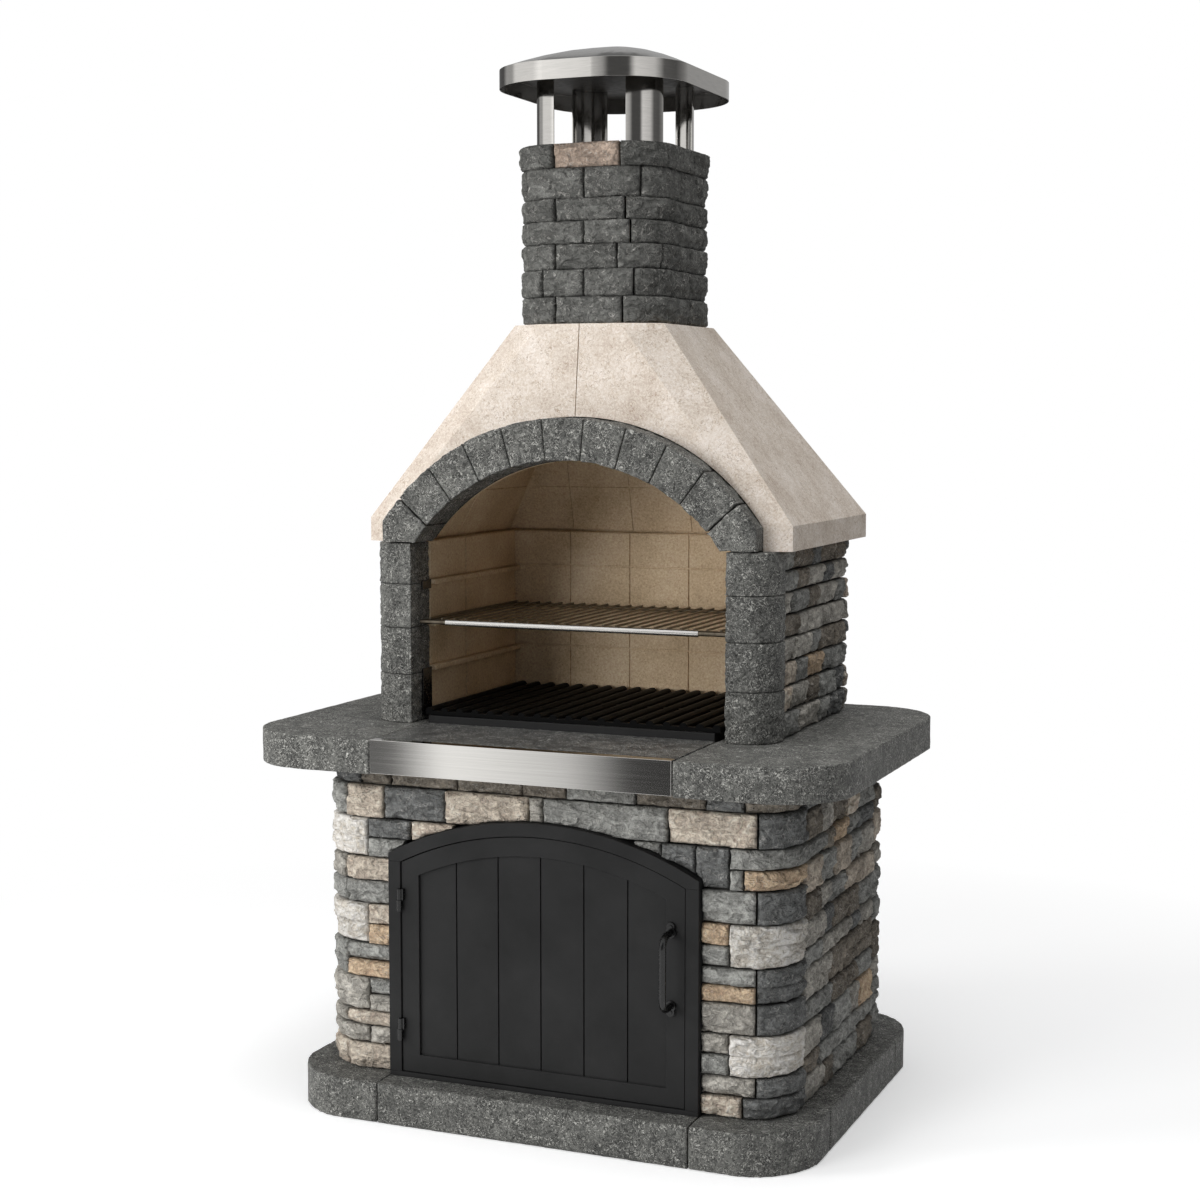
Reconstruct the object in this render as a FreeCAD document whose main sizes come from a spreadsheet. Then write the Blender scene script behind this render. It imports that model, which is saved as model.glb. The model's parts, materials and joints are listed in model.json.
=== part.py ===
import FreeCAD, Part
import math
import os
from types import SimpleNamespace

import Sketcher

Vector = FreeCAD.Vector
doc = FreeCAD.newDocument("garden_barbecue")
sheet = doc.addObject("Spreadsheet::Sheet", "Sizes")

# Driving sizes in millimetres. X runs to the right, Y to the back and Z up.
driving = {
    # plinth ring on the ground
    "plinth_ledge": 44,
    "plinth_depth": 848,
    "plinth_height": 80,
    "plinth_radius": 142,
    "plinth_band": 150,
    "plinth_block_inset": 0.7,
    "floor_ledge": 2,
    "plinth_corner_run": 190,
    "bed_joint": 0.8,
    # log store walls
    "pier": 170.3,
    "back_ledge": 73.5,
    "wall_height": 611,
    "wall_radius": 100,
    "wall_setback": 63.5,
    "facing": 28,
    "facing_gap": 0.3,
    "core": 76,
    "slab": 36,
    "lintel_clear": 4,
    "stone_joint": 4,
    "corner_return": 25,
    "shoulder_course": 78,
    "band_course": 66,
    "top_course": 42,
    # door frame and door
    "frame_width": 641.4,
    "frame_top_gap": 89,
    "frame_rise": 81,
    "frame_band": 26,
    "frame_depth": 60,
    "frame_proud": 7,
    "frame_fit": 0.5,
    "sill": 9,
    "leaf_gap": 1.7,
    "leaf_setback": 3,
    "leaf_plate": 6,
    "stile": 37,
    "bottom_rail": 35,
    "plank": 8,
    "plank_lap": 10,
    "plank_gap": 2,
    "plank_count": 6,
    "brace_height": 30,
    "brace": 6,
    "catch_side": 8.7,
    "catch_height": 40,
    "catch_gap": 0.3,
    "catch_depth": 14,
    # hinges and handle
    "hinge_radius": 4.5,
    "hinge_length": 44,
    "hinge_low": 95,
    "hinge_drop": 90,
    "hinge_lug": 6,
    "hinge_gap": 0.5,
    "pin_radius": 1.6,
    "pin_fit": 0.05,
    "handle_inset": 26.5,
    "handle_drop": 169,
    "handle_length": 138,
    "handle_reach": 46,
    "handle_radius": 6.5,
    "handle_bend": 22,
    "rosette_radius": 10,
    "rosette": 6,
    "screw_step": 11,
    "screw_pad_radius": 8,
    "screw_radius": 4,
    "screw_head": 2,
    # worktop, apron and ash drawer
    "top_width": 1200,
    "top_overhang": 106.5,
    "top_thickness": 67,
    "top_radius": 140,
    "apron_inset": 23,
    "apron": 20,
    "apron_ledge": 32,
    "slab_gap": 0.8,
    "fascia_gap": 1.5,
    "fascia_clear": 3,
    "fascia_lip": 22.5,
    "fascia_foot": 14,
    "drawer_sheet": 2,
    "drawer_top_gap": 3.7,
    "drawer_side_gap": 8,
    "drawer_back_gap": 13.5,
    "runner_sheet": 3,
    "runner_leg": 25,
    "runner_top_gap": 11,
    "slide_gap": 0.3,
    # firebox
    "opening_width": 653,
    "pillar_width": 94.5,
    "pillar_depth": 82,
    "pillar_radius": 61,
    "pillar_block_1": 97,
    "pillar_block_2": 92,
    "pillar_block_3": 87,
    "pillar_block_4": 81,
    "firebox_setback": 213.5,
    "firebox_back_ledge": 63,
    "firebox_radius": 45,
    "firebox_facing": 25,
    "lining": 31,
    "shelf_depth": 12,
    "shelf_height": 10,
    "shelf_1": 107,
    "shelf_2": 195,
    "shelf_3": 280,
    # fire tray, fire grate and cooking grate
    "tray_side_gap": 2.5,
    "tray_back_gap": 77,
    "tray_height": 34,
    "tray_wall": 6,
    "tray_ledge": 16,
    "tray_setback": 22,
    "fire_grate_side_gap": 3.5,
    "fire_grate_back_gap": 11,
    "fire_bar": 16,
    "fire_bar_height": 15,
    "fire_bar_crown": 4,
    "fire_bar_count": 19,
    "fire_cross": 14,
    "fire_cross_height": 8,
    "grate_gap": 4.5,
    "grate_back_gap": 43,
    "grate_setback": 32,
    "grate_rod": 4.5,
    "grate_wire": 2.25,
    "grate_wire_count": 24,
    "grate_wire_edge": 12,
    "grate_bite": 0.8,
    "sleeve_wall": 1.8,
    "sleeve_inset": 57,
    "sleeve_fit": 0.1,
    "sleeve_clear": 1.5,
    "hook_plate": 3,
    "hook_depth": 38,
    "hook_low": 12,
    "hook_height": 92,
    "hook_top": 262,
    "hook_top_height": 18,
    # arch over the fire
    "arch_proud": 4,
    "arch_rise": 164,
    "arch_foot": 9.2,
    "arch_thickness": 83,
    "arch_inset": 33,
    "arch_joint": 2,
    "arch_gap": 0.8,
    "springer_angle": 6.5,
    "voussoir_count": 9,
    # hood
    "hood_side": 21,
    "hood_step": 36,
    "hood_back": 21,
    "hood_corner_front": 48,
    "hood_corner_side": 14,
    "hood_crown_front": 75,
    "hood_crown_side": 45,
    "hood_rim": 47,
    "hood_height": 379,
    "hood_seam": 1.5,
    "hood_ledge": 24,
    "hood_inner_radius": 20,
    # chimney and cap
    "chimney_width": 314,
    "chimney_depth": 372,
    "chimney_radius": 95,
    "chimney_setback": 81,
    "chimney_wall": 45,
    "chimney_proud": 5,
    "chimney_course_1": 52,
    "chimney_course_2": 52,
    "chimney_course_3": 48,
    "chimney_course_4": 44,
    "chimney_course_5": 43,
    "chimney_course_6": 58,
    "chimney_course_7": 46,
    "chimney_joint": 3,
    "liner": 8,
    "cap_width": 382,
    "cap_depth": 494,
    "cap_radius": 142,
    "cap_lift": 111,
    "cap_rim": 36,
    "cap_dome": 55,
    "cap_sheet": 2,
    "cap_plate": 3,
    "post_outset": 13,
    "post_inset": 11,
    "post_radius": 53,
    "post_sheet": 3,
}
for row, (alias, number) in enumerate(driving.items(), 1):
    sheet.set(f"A{row}", alias)
    sheet.set(f"B{row}", str(number))
    sheet.setAlias(f"B{row}", alias)
doc.recompute()


class Size:
    # A length with the sheet formula that gives it.
    def __init__(self, value, formula):
        self.value = value
        self.formula = formula

    def __float__(self):
        return float(self.value)

    def __add__(self, other):
        other = as_size(other)
        return Size(self.value + other.value, f"({self.formula} + {other.formula})")

    def __sub__(self, other):
        other = as_size(other)
        return Size(self.value - other.value, f"({self.formula} - {other.formula})")

    def __mul__(self, other):
        other = as_size(other)
        return Size(self.value * other.value, f"({self.formula} * {other.formula})")

    def __truediv__(self, other):
        other = as_size(other)
        return Size(self.value / other.value, f"({self.formula} / {other.formula})")

    def __neg__(self):
        return Size(-self.value, f"(-1 * {self.formula})")


def as_size(thing):
    if isinstance(thing, Size):
        return thing
    return Size(float(thing), repr(float(thing)))


def root(thing):
    return Size(math.sqrt(thing.value), f"sqrt({thing.formula})")


d = SimpleNamespace(**{alias: Size(float(sheet.get(alias)), f"Sizes.{alias}") for alias in driving})
zero = as_size(0)
tolerance = 0.01
nodes = []


def bind(item, properties):
    for name, size in properties.items():
        item.setExpression(name, as_size(size).formula)


def keep(item, label):
    item.Label = label
    nodes.append(item)
    return item


def both(half):
    return (-half, half)


def box(name, x, y, z):
    item = doc.addObject("Part::Box", name)
    sides = zip(("Length", "Width", "Height"), "xyz", (x, y, z))
    for side, axis, (low, high) in sides:
        bind(item, {side: as_size(high) - low, "Placement.Base." + axis: low})
    return item


def cylinder_y(name, radius, centre, y):
    # A cylinder along Y round the point centre (x, z).
    item = doc.addObject("Part::Cylinder", name)
    item.Placement = FreeCAD.Placement(Vector(), FreeCAD.Rotation(Vector(1, 0, 0), -90))
    place = {"Placement.Base.x": centre[0], "Placement.Base.y": y[0], "Placement.Base.z": centre[1]}
    bind(item, {"Radius": radius, "Height": as_size(y[1]) - y[0], **place})
    return item


def cylinder_x(name, radius, centre, x):
    # A cylinder along X round the point centre (y, z).
    item = doc.addObject("Part::Cylinder", name)
    item.Placement = FreeCAD.Placement(Vector(), FreeCAD.Rotation(Vector(0, 1, 0), 90))
    place = {"Placement.Base.x": x[0], "Placement.Base.y": centre[0], "Placement.Base.z": centre[1]}
    bind(item, {"Radius": radius, "Height": as_size(x[1]) - x[0], **place})
    return item


def cylinder_z(name, radius, centre, z):
    # An upright cylinder round the point centre (x, y).
    item = doc.addObject("Part::Cylinder", name)
    place = {"Placement.Base.x": centre[0], "Placement.Base.y": centre[1], "Placement.Base.z": z[0]}
    bind(item, {"Radius": radius, "Height": as_size(z[1]) - z[0], **place})
    return item


def cut(name, base, tool):
    item = doc.addObject("Part::Cut", name)
    item.Base = base
    item.Tool = tool
    return item


def common(name, base, tool):
    item = doc.addObject("Part::Common", name)
    item.Base = base
    item.Tool = tool
    return item


def fuse(name, items):
    item = doc.addObject("Part::MultiFuse", name)
    item.Shapes = items
    return item


def group(name, items):
    item = doc.addObject("Part::Compound", name)
    item.Links = items
    return item


def mirrored(name, source):
    item = doc.addObject("Part::Mirroring", name)
    item.Source = source
    item.Normal = Vector(1, 0, 0)
    return item


def pair(label, name, right):
    # The right-hand piece and its mirror image in one node.
    return keep(group(label, [right, mirrored(name + "_left", right)]), label)


def sketch_on(body, name, plane, offset):
    sketch = body.newObject("Sketcher::SketchObject", name)
    for feature in body.Origin.OriginFeatures:
        if feature.Role == plane + "_Plane":
            sketch.AttachmentSupport = (feature, [""])
    sketch.MapMode = "FlatFace"
    bind(sketch, {"AttachmentOffset.Base.z": offset})
    return sketch


def fix_point(sketch, geometry, corner, point):
    # Holds one corner of a sketch at a bound distance from the origin.
    for kind, axis_line, size in (("DistanceX", -2, point[0]), ("DistanceY", -1, point[1])):
        size = as_size(size)
        if size.formula == zero.formula:
            sketch.addConstraint(Sketcher.Constraint("PointOnObject", geometry, corner, axis_line))
            continue
        index = sketch.addConstraint(Sketcher.Constraint(kind, -1, 1, geometry, corner, float(size)))
        label = f"{kind.lower()}_{geometry}_{corner}"
        sketch.renameConstraint(index, label)
        bind(sketch, {"Constraints." + label: size})


def add_outline(sketch, points):
    first = sketch.GeometryCount
    flat = [Vector(float(as_size(u)), float(as_size(v)), 0) for u, v in points]
    count = len(points)
    for index in range(count):
        sketch.addGeometry(Part.LineSegment(flat[index], flat[(index + 1) % count]), False)
    for index in range(count):
        following = first + (index + 1) % count
        sketch.addConstraint(Sketcher.Constraint("Coincident", first + index, 2, following, 1))
    for index in range(count):
        fix_point(sketch, first + index, 1, points[index])


def add_circle(sketch, centre, radius):
    spot = Vector(float(as_size(centre[0])), float(as_size(centre[1])), 0)
    index = sketch.addGeometry(Part.Circle(spot, Vector(0, 0, 1), float(radius)), False)
    fix_point(sketch, index, 3, centre)
    held = sketch.addConstraint(Sketcher.Constraint("Radius", index, float(radius)))
    sketch.renameConstraint(held, f"radius_{index}")
    bind(sketch, {f"Constraints.radius_{index}": radius})


def start_body(name):
    return doc.addObject("PartDesign::Body", name)


def grow(body, name, plane, low, high):
    # An empty sketch and its pad from low to high along the plane's axis.
    offset = -as_size(high) if plane == "XZ" else as_size(low)
    sketch = sketch_on(body, name + "_sketch", plane, offset)
    pad = body.newObject("PartDesign::Pad", name + "_pad")
    pad.Profile = sketch
    bind(pad, {"Length": as_size(high) - low})
    return sketch, pad


def pad(name, plane, outlines, low, high, body=None):
    body = body or start_body(name)
    sketch, feature = grow(body, f"{name}_{len(body.Group)}", plane, low, high)
    for points in outlines:
        add_outline(sketch, points)
    return body


def rectangle(x, y):
    return [(x[0], y[0]), (x[1], y[0]), (x[1], y[1]), (x[0], y[1])]


def round_upright(body, corners, radius):
    # Rounds the upright edges that stand at the given corners of the plan.
    doc.recompute()
    solid = body.Tip
    edges = []
    for number, edge in enumerate(solid.Shape.Edges, 1):
        low, high = edge.Vertexes[0].Point, edge.Vertexes[-1].Point
        upright = math.hypot(low.x - high.x, low.y - high.y) < tolerance < abs(low.z - high.z)
        spots = [math.hypot(low.x - float(x), low.y - float(y)) for x, y in corners]
        if upright and min(spots) < tolerance:
            edges.append(f"Edge{number}")
    fillet = body.newObject("PartDesign::Fillet", body.Name + "_round")
    fillet.Base = (solid, edges)
    bind(fillet, {"Radius": radius})
    return body


def feature(label, shape):
    item = doc.addObject("Part::Feature", label)
    item.Shape = shape
    item.Placement = FreeCAD.Placement()
    return keep(item, label)


# Levels and lines that the pieces share
depth = d.plinth_depth + d.top_overhang - d.wall_setback
top_front = -depth / 2
plinth_back = depth / 2
plinth_front = plinth_back - d.plinth_depth
frame_half = d.frame_width / 2
wall_half = frame_half + d.pier
plinth_half = wall_half + d.plinth_ledge
core_half = wall_half - d.facing
core_inner = core_half - d.core
wall_front = plinth_front + d.wall_setback
wall_back = plinth_back - d.back_ledge
wall_top = d.plinth_height + d.wall_height
top_level = wall_top + d.top_thickness
opening_half = d.opening_width / 2
pillar_half = opening_half + d.pillar_width
pillar_front = top_front + d.firebox_setback
pillar_back = pillar_front + d.pillar_depth
firebox_back = wall_back - d.firebox_back_ledge
lining_face = firebox_back - d.firebox_facing - d.lining
pillar_blocks = [d.pillar_block_1, d.pillar_block_2, d.pillar_block_3, d.pillar_block_4]
hood_low = top_level + d.pillar_block_1 + d.pillar_block_2 + d.pillar_block_3 + d.pillar_block_4
hood_rim_top = hood_low + d.hood_rim
hood_top = hood_rim_top + d.hood_height
chimney_half = d.chimney_width / 2
chimney_front = pillar_front + d.chimney_setback
chimney_back = chimney_front + d.chimney_depth
chimney_middle = chimney_front + d.chimney_depth / 2


# Plinth: eight cast blocks round a floor slab
def make_plinth():
    gap = d.bed_joint / 2
    block = frame_half - d.plinth_block_inset
    inner = core_inner - d.floor_ledge
    upright = (zero, d.plinth_height)
    front_band = (plinth_front, plinth_front + d.plinth_band)
    back_band = (plinth_back - d.plinth_band, plinth_back)
    keep(box("plinth_front", both(block - gap), front_band, upright), "plinth_front")
    keep(box("plinth_back", both(block - gap), back_band, upright), "plinth_back")
    side_run = (plinth_front + d.plinth_corner_run + gap, plinth_back - d.plinth_corner_run - gap)
    pair("plinth_sides", "plinth_side", box("plinth_side", (inner, plinth_half), side_run, upright))
    corners = []
    for name, outer, ring, end in (
        ("front", plinth_front, front_band[1], side_run[0] - gap * 2),
        ("back", plinth_back, back_band[0], side_run[1] + gap * 2),
    ):
        outline = [(block + gap, outer), (plinth_half, outer), (plinth_half, end), (inner, end)]
        outline += [(inner, ring), (block + gap, ring)]
        corner = pad("plinth_corner_" + name, "XY", [outline], *upright)
        round_upright(corner, [(plinth_half, outer)], d.plinth_radius)
        corners += [corner, mirrored(f"plinth_corner_{name}_left", corner)]
    keep(group("plinth_corners", corners), "plinth_corners")
    floor_run = (front_band[1] + gap, back_band[0] - gap)
    keep(box("cabinet_floor", both(inner - gap), floor_run, upright), "cabinet_floor")


make_plinth()

# Door frame lines, which the walls and the facing stones leave free
frame_radius = (frame_half * frame_half + d.frame_rise * d.frame_rise) / (d.frame_rise * 2)
frame_crown = wall_top - d.frame_top_gap
frame_spring = frame_crown - d.frame_rise
frame_centre = frame_crown - frame_radius
frame_front = wall_front - d.frame_proud
frame_back = frame_front + d.frame_depth
core_front = wall_front + d.facing
core_back = wall_back - d.facing
core_radius = d.wall_radius - d.facing
slab_low = wall_top - d.slab


# Log store: load-bearing cores, lintel and the slab that carries the worktop
def make_base_cores():
    upright = (d.plinth_height, slab_low)
    outline = rectangle((core_inner, core_half), (core_front, core_back))
    side = pad("base_core_right", "XY", [outline], *upright)
    round_upright(side, [(core_half, core_front), (core_half, core_back)], core_radius)
    keep(side, "base_core_right")
    keep(mirrored("base_core_left", side), "base_core_left")
    back_run = (core_back - d.core, core_back)
    keep(box("base_core_back", both(core_inner), back_run, upright), "base_core_back")
    front_run = (core_front, core_front + d.core)
    door_half = frame_half + d.frame_fit
    pair("base_piers", "base_pier", box("base_pier", (door_half, core_inner), front_run, upright))
    lintel_run = (frame_crown + d.lintel_clear, slab_low)
    keep(box("base_lintel", both(door_half), front_run, lintel_run), "base_lintel")
    plan = rectangle(both(core_half), (core_front, core_back))
    slab = pad("base_slab", "XY", [plan], slab_low, wall_top)
    corners = [(x, y) for x in both(core_half) for y in (core_front, core_back)]
    keep(round_upright(slab, corners, core_radius), "base_slab")


make_base_cores()


# Plan outlines with rounded corners, and the stones cut out of a wall's facing
def rounded_wire(x, y, radius, level):
    x_low, x_high, y_low, y_high = (float(v) for v in (*x, *y))
    radius = float(radius)
    level = float(level)
    slant = radius * (1 - math.sqrt(0.5))
    edges = []
    turns = (
        ((x_high, y_low), (-1, 0), (0, 1)),
        ((x_high, y_high), (0, -1), (-1, 0)),
        ((x_low, y_high), (1, 0), (0, -1)),
        ((x_low, y_low), (0, 1), (1, 0)),
    )
    starts = []
    for (cx, cy), before, after in turns:
        start = Vector(cx + before[0] * radius, cy + before[1] * radius, level)
        middle = Vector(cx + (before[0] + after[0]) * slant, cy + (before[1] + after[1]) * slant, level)
        end = Vector(cx + after[0] * radius, cy + after[1] * radius, level)
        starts.append((start, middle, end))
    for index, (start, middle, end) in enumerate(starts):
        edges.append(Part.Arc(start, middle, end).toShape())
        edges.append(Part.LineSegment(end, starts[(index + 1) % 4][0]).toShape())
    return Part.Wire(edges)


def cornered_wire(x, y, front_cut, side_cut, level):
    # A rectangle whose four corners are cut off on the slant
    x_low, x_high, y_low, y_high = (float(v) for v in (*x, *y))
    front_cut = float(front_cut)
    side_cut = float(side_cut)
    points = [
        (x_low + front_cut, y_low),
        (x_high - front_cut, y_low),
        (x_high, y_low + side_cut),
        (x_high, y_high - side_cut),
        (x_high - front_cut, y_high),
        (x_low + front_cut, y_high),
        (x_low, y_high - side_cut),
        (x_low, y_low + side_cut),
    ]
    corners = [Vector(px, py, float(level)) for px, py in points]
    return Part.makePolygon(corners + corners[:1])


def inset(x, y, amount):
    amount = float(amount)
    return (float(x[0]) + amount, float(x[1]) - amount), (float(y[0]) + amount, float(y[1]) - amount)


def ring_face(x, y, radius, thickness):
    inner_x, inner_y = inset(x, y, thickness)
    outer = Part.Face(rounded_wire(x, y, radius, 0))
    return outer.cut(Part.Face(rounded_wire(inner_x, inner_y, float(radius) - float(thickness), 0)))


def plan_cell(face, x, y, joint):
    half = float(joint) / 2
    corner = Vector(x[0] + half, y[0] + half, 0)
    return face.common(Part.makePlane(x[1] - x[0] - 2 * half, y[1] - y[0] - 2 * half, corner))


def raise_stone(plan, z, joint):
    half = float(joint) / 2
    lifted = plan.translated(Vector(0, 0, z[0] + half))
    return lifted.extrude(Vector(0, 0, z[1] - z[0] - 2 * half)).Solids


def spans(low, high, lengths, turn=0):
    # Cuts low..high into runs whose lengths repeat a pattern, stretched to fill it.
    low, high = float(low), float(high)
    order = lengths[turn % len(lengths):] + lengths[:turn % len(lengths)]
    picked = []
    while sum(picked) < high - low - order[len(picked) % len(order)] / 2:
        picked.append(order[len(picked) % len(order)])
    picked = picked or [high - low]
    stretch = (high - low) / sum(picked)
    edges = [low]
    for length in picked:
        edges.append(edges[-1] + length * stretch)
    return list(zip(edges, edges[1:]))


def shares(low, high, heights):
    # Cuts low..high into as many courses as there are heights, in their proportion.
    return spans(low, high, [h * (float(high) - float(low)) / sum(heights) for h in heights])


def between(low, high, joints):
    edges = [low, *joints, high]
    return list(zip(edges, edges[1:]))


wall_x = both(wall_half)
wall_y = (wall_front, wall_back)
corner_reach = float(d.wall_radius + d.corner_return)


def frame_outline(grow_by):
    # The arched outline of the door frame as a solid through the wall, grown by a fit.
    grow_by = float(grow_by)
    half = float(frame_half) + grow_by
    low = float(d.plinth_height) - grow_by
    run = float(d.facing) * 4
    start = float(wall_front) - run / 2
    body = Part.makeBox(2 * half, run, float(frame_crown) + grow_by - low, Vector(-half, start, low))
    centre = Vector(0, start, float(frame_centre))
    return body.common(Part.makeCylinder(float(frame_radius) + grow_by, run, centre, Vector(0, 1, 0)))


# Facing stones of the log store: piers beside the door, shoulders, band and top course in front
narrow_ratio = 0.31
middle_ratio = 0.47
wide_ratio = 0.63
right_courses = [41, 38, 79, 59, 67, 82, 63]
right_ratios = [middle_ratio, wide_ratio, narrow_ratio, wide_ratio, wide_ratio, narrow_ratio, wide_ratio]
right_row_counts = [1, 1, 2, 1, 2, 2, 1]
left_courses = [51, 35, 30, 67, 67, 79, 46, 46]
left_ratios = [wide_ratio, narrow_ratio, wide_ratio, narrow_ratio]
left_ratios += [wide_ratio, narrow_ratio, wide_ratio, wide_ratio]
left_row_counts = [1, 1, 1, 2, 2, 2, 1, 1]
head_left_ratios = [-0.87, -0.58]
head_right_ratios = [0.58, 0.75, 0.96]
band_ratios = [-0.866, -0.688, -0.417, -0.055, 0.004, 0.517, 0.874]
top_ratios = [-0.79, -0.656, -0.363, -0.081, 0.102, 0.387, 0.668, 0.819]


def make_facing_front():
    ring = ring_face(wall_x, wall_y, d.wall_radius, float(d.facing) - float(d.facing_gap))
    joint = d.stone_joint
    half = float(wall_half)
    door = float(frame_half)
    y = (float(wall_front) - float(joint), float(wall_front) + corner_reach)
    shoulder_low = float(wall_top - d.top_course - d.band_course - d.shoulder_course)
    band_low = float(wall_top - d.top_course - d.band_course)
    top_low = float(wall_top - d.top_course)
    cells = []

    def lay(x, z):
        cells.append(((min(x), max(x)), z))

    for side, courses, ratios, row_counts in (
        (1, right_courses, right_ratios, right_row_counts),
        (-1, left_courses, left_ratios, left_row_counts),
    ):
        for z, ratio, rows in zip(shares(d.plinth_height, shoulder_low, courses), ratios, row_counts):
            column = door + ratio * (half - door)
            for part in shares(*z, [1] * round(rows)):
                lay((side * (door - float(d.facing)), side * column), part)
            lay((side * column, side * (half + float(joint))), z)
    near = door + narrow_ratio * (half - door)
    far = door + middle_ratio * (half - door)
    lower, upper = shares(shoulder_low, band_low, [1, 1])
    lay((-near, -half - float(joint)), (shoulder_low, band_low))
    lay((-near, -door + float(d.facing)), lower)
    edges = [ratio * door for ratio in head_left_ratios]
    for x in between(-near, edges[-1], edges[:-1]):
        lay(x, upper)
    lay((near, half + float(joint)), upper)
    lay((near, far), lower)
    lay((far, half + float(joint)), lower)
    edges = [ratio * door for ratio in head_right_ratios]
    for x in between(edges[0], near, edges[1:]):
        lay(x, (shoulder_low, band_low))
    outer = half + float(joint)
    for ratios, z in ((band_ratios, (band_low, top_low)), (top_ratios, (top_low, float(wall_top)))):
        for x in between(-outer, outer, [ratio * half for ratio in ratios]):
            lay(x, z)
    hole = frame_outline(d.frame_fit)
    stones = []
    for x, z in cells:
        for stone in raise_stone(plan_cell(ring, x, y, joint), z, joint):
            stones += stone.cut(hole).Solids
    feature("facing_front", Part.makeCompound(stones))


make_facing_front()

side_courses = [52, 38, 60, 44, 66, 36, 54, 48, 62, 40, 58, 53]
side_lengths = [88, 132, 64, 110, 76, 120]
back_courses = [58, 64, 46, 70, 52, 66, 48, 72, 50, 85]
back_lengths = [124, 92, 150, 78, 112]
back_corner_ratios = [0.75, 1.15]


def make_facing_sides():
    ring = ring_face(wall_x, wall_y, d.wall_radius, float(d.facing) - float(d.facing_gap))
    joint = d.stone_joint
    inner = float(wall_half) - corner_reach
    run = (float(wall_front) + corner_reach, float(wall_back) - corner_reach)
    for label, side in (("facing_left", -1), ("facing_right", 1)):
        stones = []
        for turn, z in enumerate(shares(d.plinth_height, wall_top, side_courses)):
            x = sorted((side * inner, side * (float(wall_half) + float(joint))))
            for y in spans(*run, side_lengths, turn * 2 + side):
                stones += raise_stone(plan_cell(ring, x, y, joint), z, joint)
        feature(label, Part.makeCompound(stones))


def make_facing_back():
    ring = ring_face(wall_x, wall_y, d.wall_radius, float(d.facing) - float(d.facing_gap))
    joint = d.stone_joint
    outer = float(wall_half) + float(joint)
    y = (float(wall_back) - corner_reach, float(wall_back) + float(joint))
    stones = []
    for turn, z in enumerate(shares(d.plinth_height, wall_top, back_courses)):
        corner = float(wall_half) - float(d.wall_radius) * back_corner_ratios[turn % 2]
        runs = [(-outer, -corner), *spans(-corner, corner, back_lengths, turn * 2), (corner, outer)]
        for x in runs:
            stones += raise_stone(plan_cell(ring, x, y, joint), z, joint)
    feature("facing_back", Part.makeCompound(stones))


make_facing_sides()
make_facing_back()

# Worktop lines
top_half = d.top_width / 2
apron_half = opening_half - d.apron_inset
apron_low = top_level - d.apron
ledge_half = apron_half - d.apron_ledge
notch_half = apron_half + d.slab_gap
fascia_back = top_front + d.fascia_lip
tray_front = pillar_front + d.tray_setback
tray_back = lining_face - d.tray_back_gap


# Worktop: two wings with a ledge for the apron, a back piece and the polished apron
def make_worktop():
    notch_back = fascia_back + d.fascia_gap
    lower = [(notch_half, top_front), (top_half, top_front), (top_half, wall_back)]
    lower += [(ledge_half, wall_back), (ledge_half, notch_back), (notch_half, notch_back)]
    upper = rectangle((notch_half, top_half), (top_front, wall_back))
    wing = pad("worktop_right", "XY", [lower], wall_top, apron_low)
    pad("worktop_right", "XY", [upper], apron_low, top_level, wing)
    round_upright(wing, [(top_half, top_front), (top_half, wall_back)], d.top_radius)
    keep(wing, "worktop_right")
    keep(mirrored("worktop_left", wing), "worktop_left")
    stem = ledge_half - d.slab_gap
    profile = [(-stem, wall_top), (stem, wall_top), (stem, apron_low), (apron_half, apron_low)]
    profile += [(apron_half, top_level), (-apron_half, top_level)]
    profile += [(-apron_half, apron_low), (-stem, apron_low)]
    back_run = (tray_back + d.slab_gap, wall_back)
    keep(pad("worktop_back", "XZ", [profile], *back_run), "worktop_back")
    apron_run = (notch_back, tray_front - d.slab_gap)
    keep(box("apron_slab", both(apron_half), apron_run, (apron_low, top_level)), "apron_slab")


make_worktop()


# Ash drawer behind the steel front, on two angle runners
def make_drawer():
    half = apron_half
    low = wall_top + d.fascia_clear
    sheet_back = top_front + d.drawer_sheet
    foot_back = top_front + d.fascia_foot
    profile = [(top_front, low), (foot_back, low), (foot_back, low + d.drawer_sheet)]
    profile += [(sheet_back, low + d.drawer_sheet), (sheet_back, top_level - d.drawer_sheet)]
    profile += [(fascia_back, top_level - d.drawer_sheet), (fascia_back, top_level), (top_front, top_level)]
    keep(pad("drawer_front", "YZ", [profile], -half, half), "drawer_front")
    bed = low + d.drawer_sheet
    side = ledge_half - d.drawer_side_gap
    inner = side - d.drawer_sheet
    tray_run = (sheet_back, tray_back - d.drawer_back_gap)
    inner_run = (tray_run[0] + d.drawer_sheet, tray_run[1] - d.drawer_sheet)
    outer_plan = rectangle(both(side), tray_run)
    inner_plan = rectangle(both(inner), inner_run)
    tray = pad("drawer_tray", "XY", [outer_plan], bed, bed + d.drawer_sheet)
    tray_top = apron_low - d.drawer_top_gap
    pad("drawer_tray", "XY", [outer_plan, inner_plan], bed + d.drawer_sheet, tray_top, tray)
    keep(tray, "drawer_tray")
    wall = ledge_half - d.runner_sheet
    seat = bed - d.slide_gap
    runner_top = apron_low - d.runner_top_gap
    runner = [(ledge_half - d.runner_leg, wall_top), (ledge_half, wall_top), (ledge_half, runner_top)]
    runner += [(wall, runner_top), (wall, seat), (ledge_half - d.runner_leg, seat)]
    runner_run = (core_front, tray_run[1])
    pair("drawer_runners", "drawer_runner", pad("drawer_runner", "XZ", [runner], *runner_run))


make_drawer()


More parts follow.
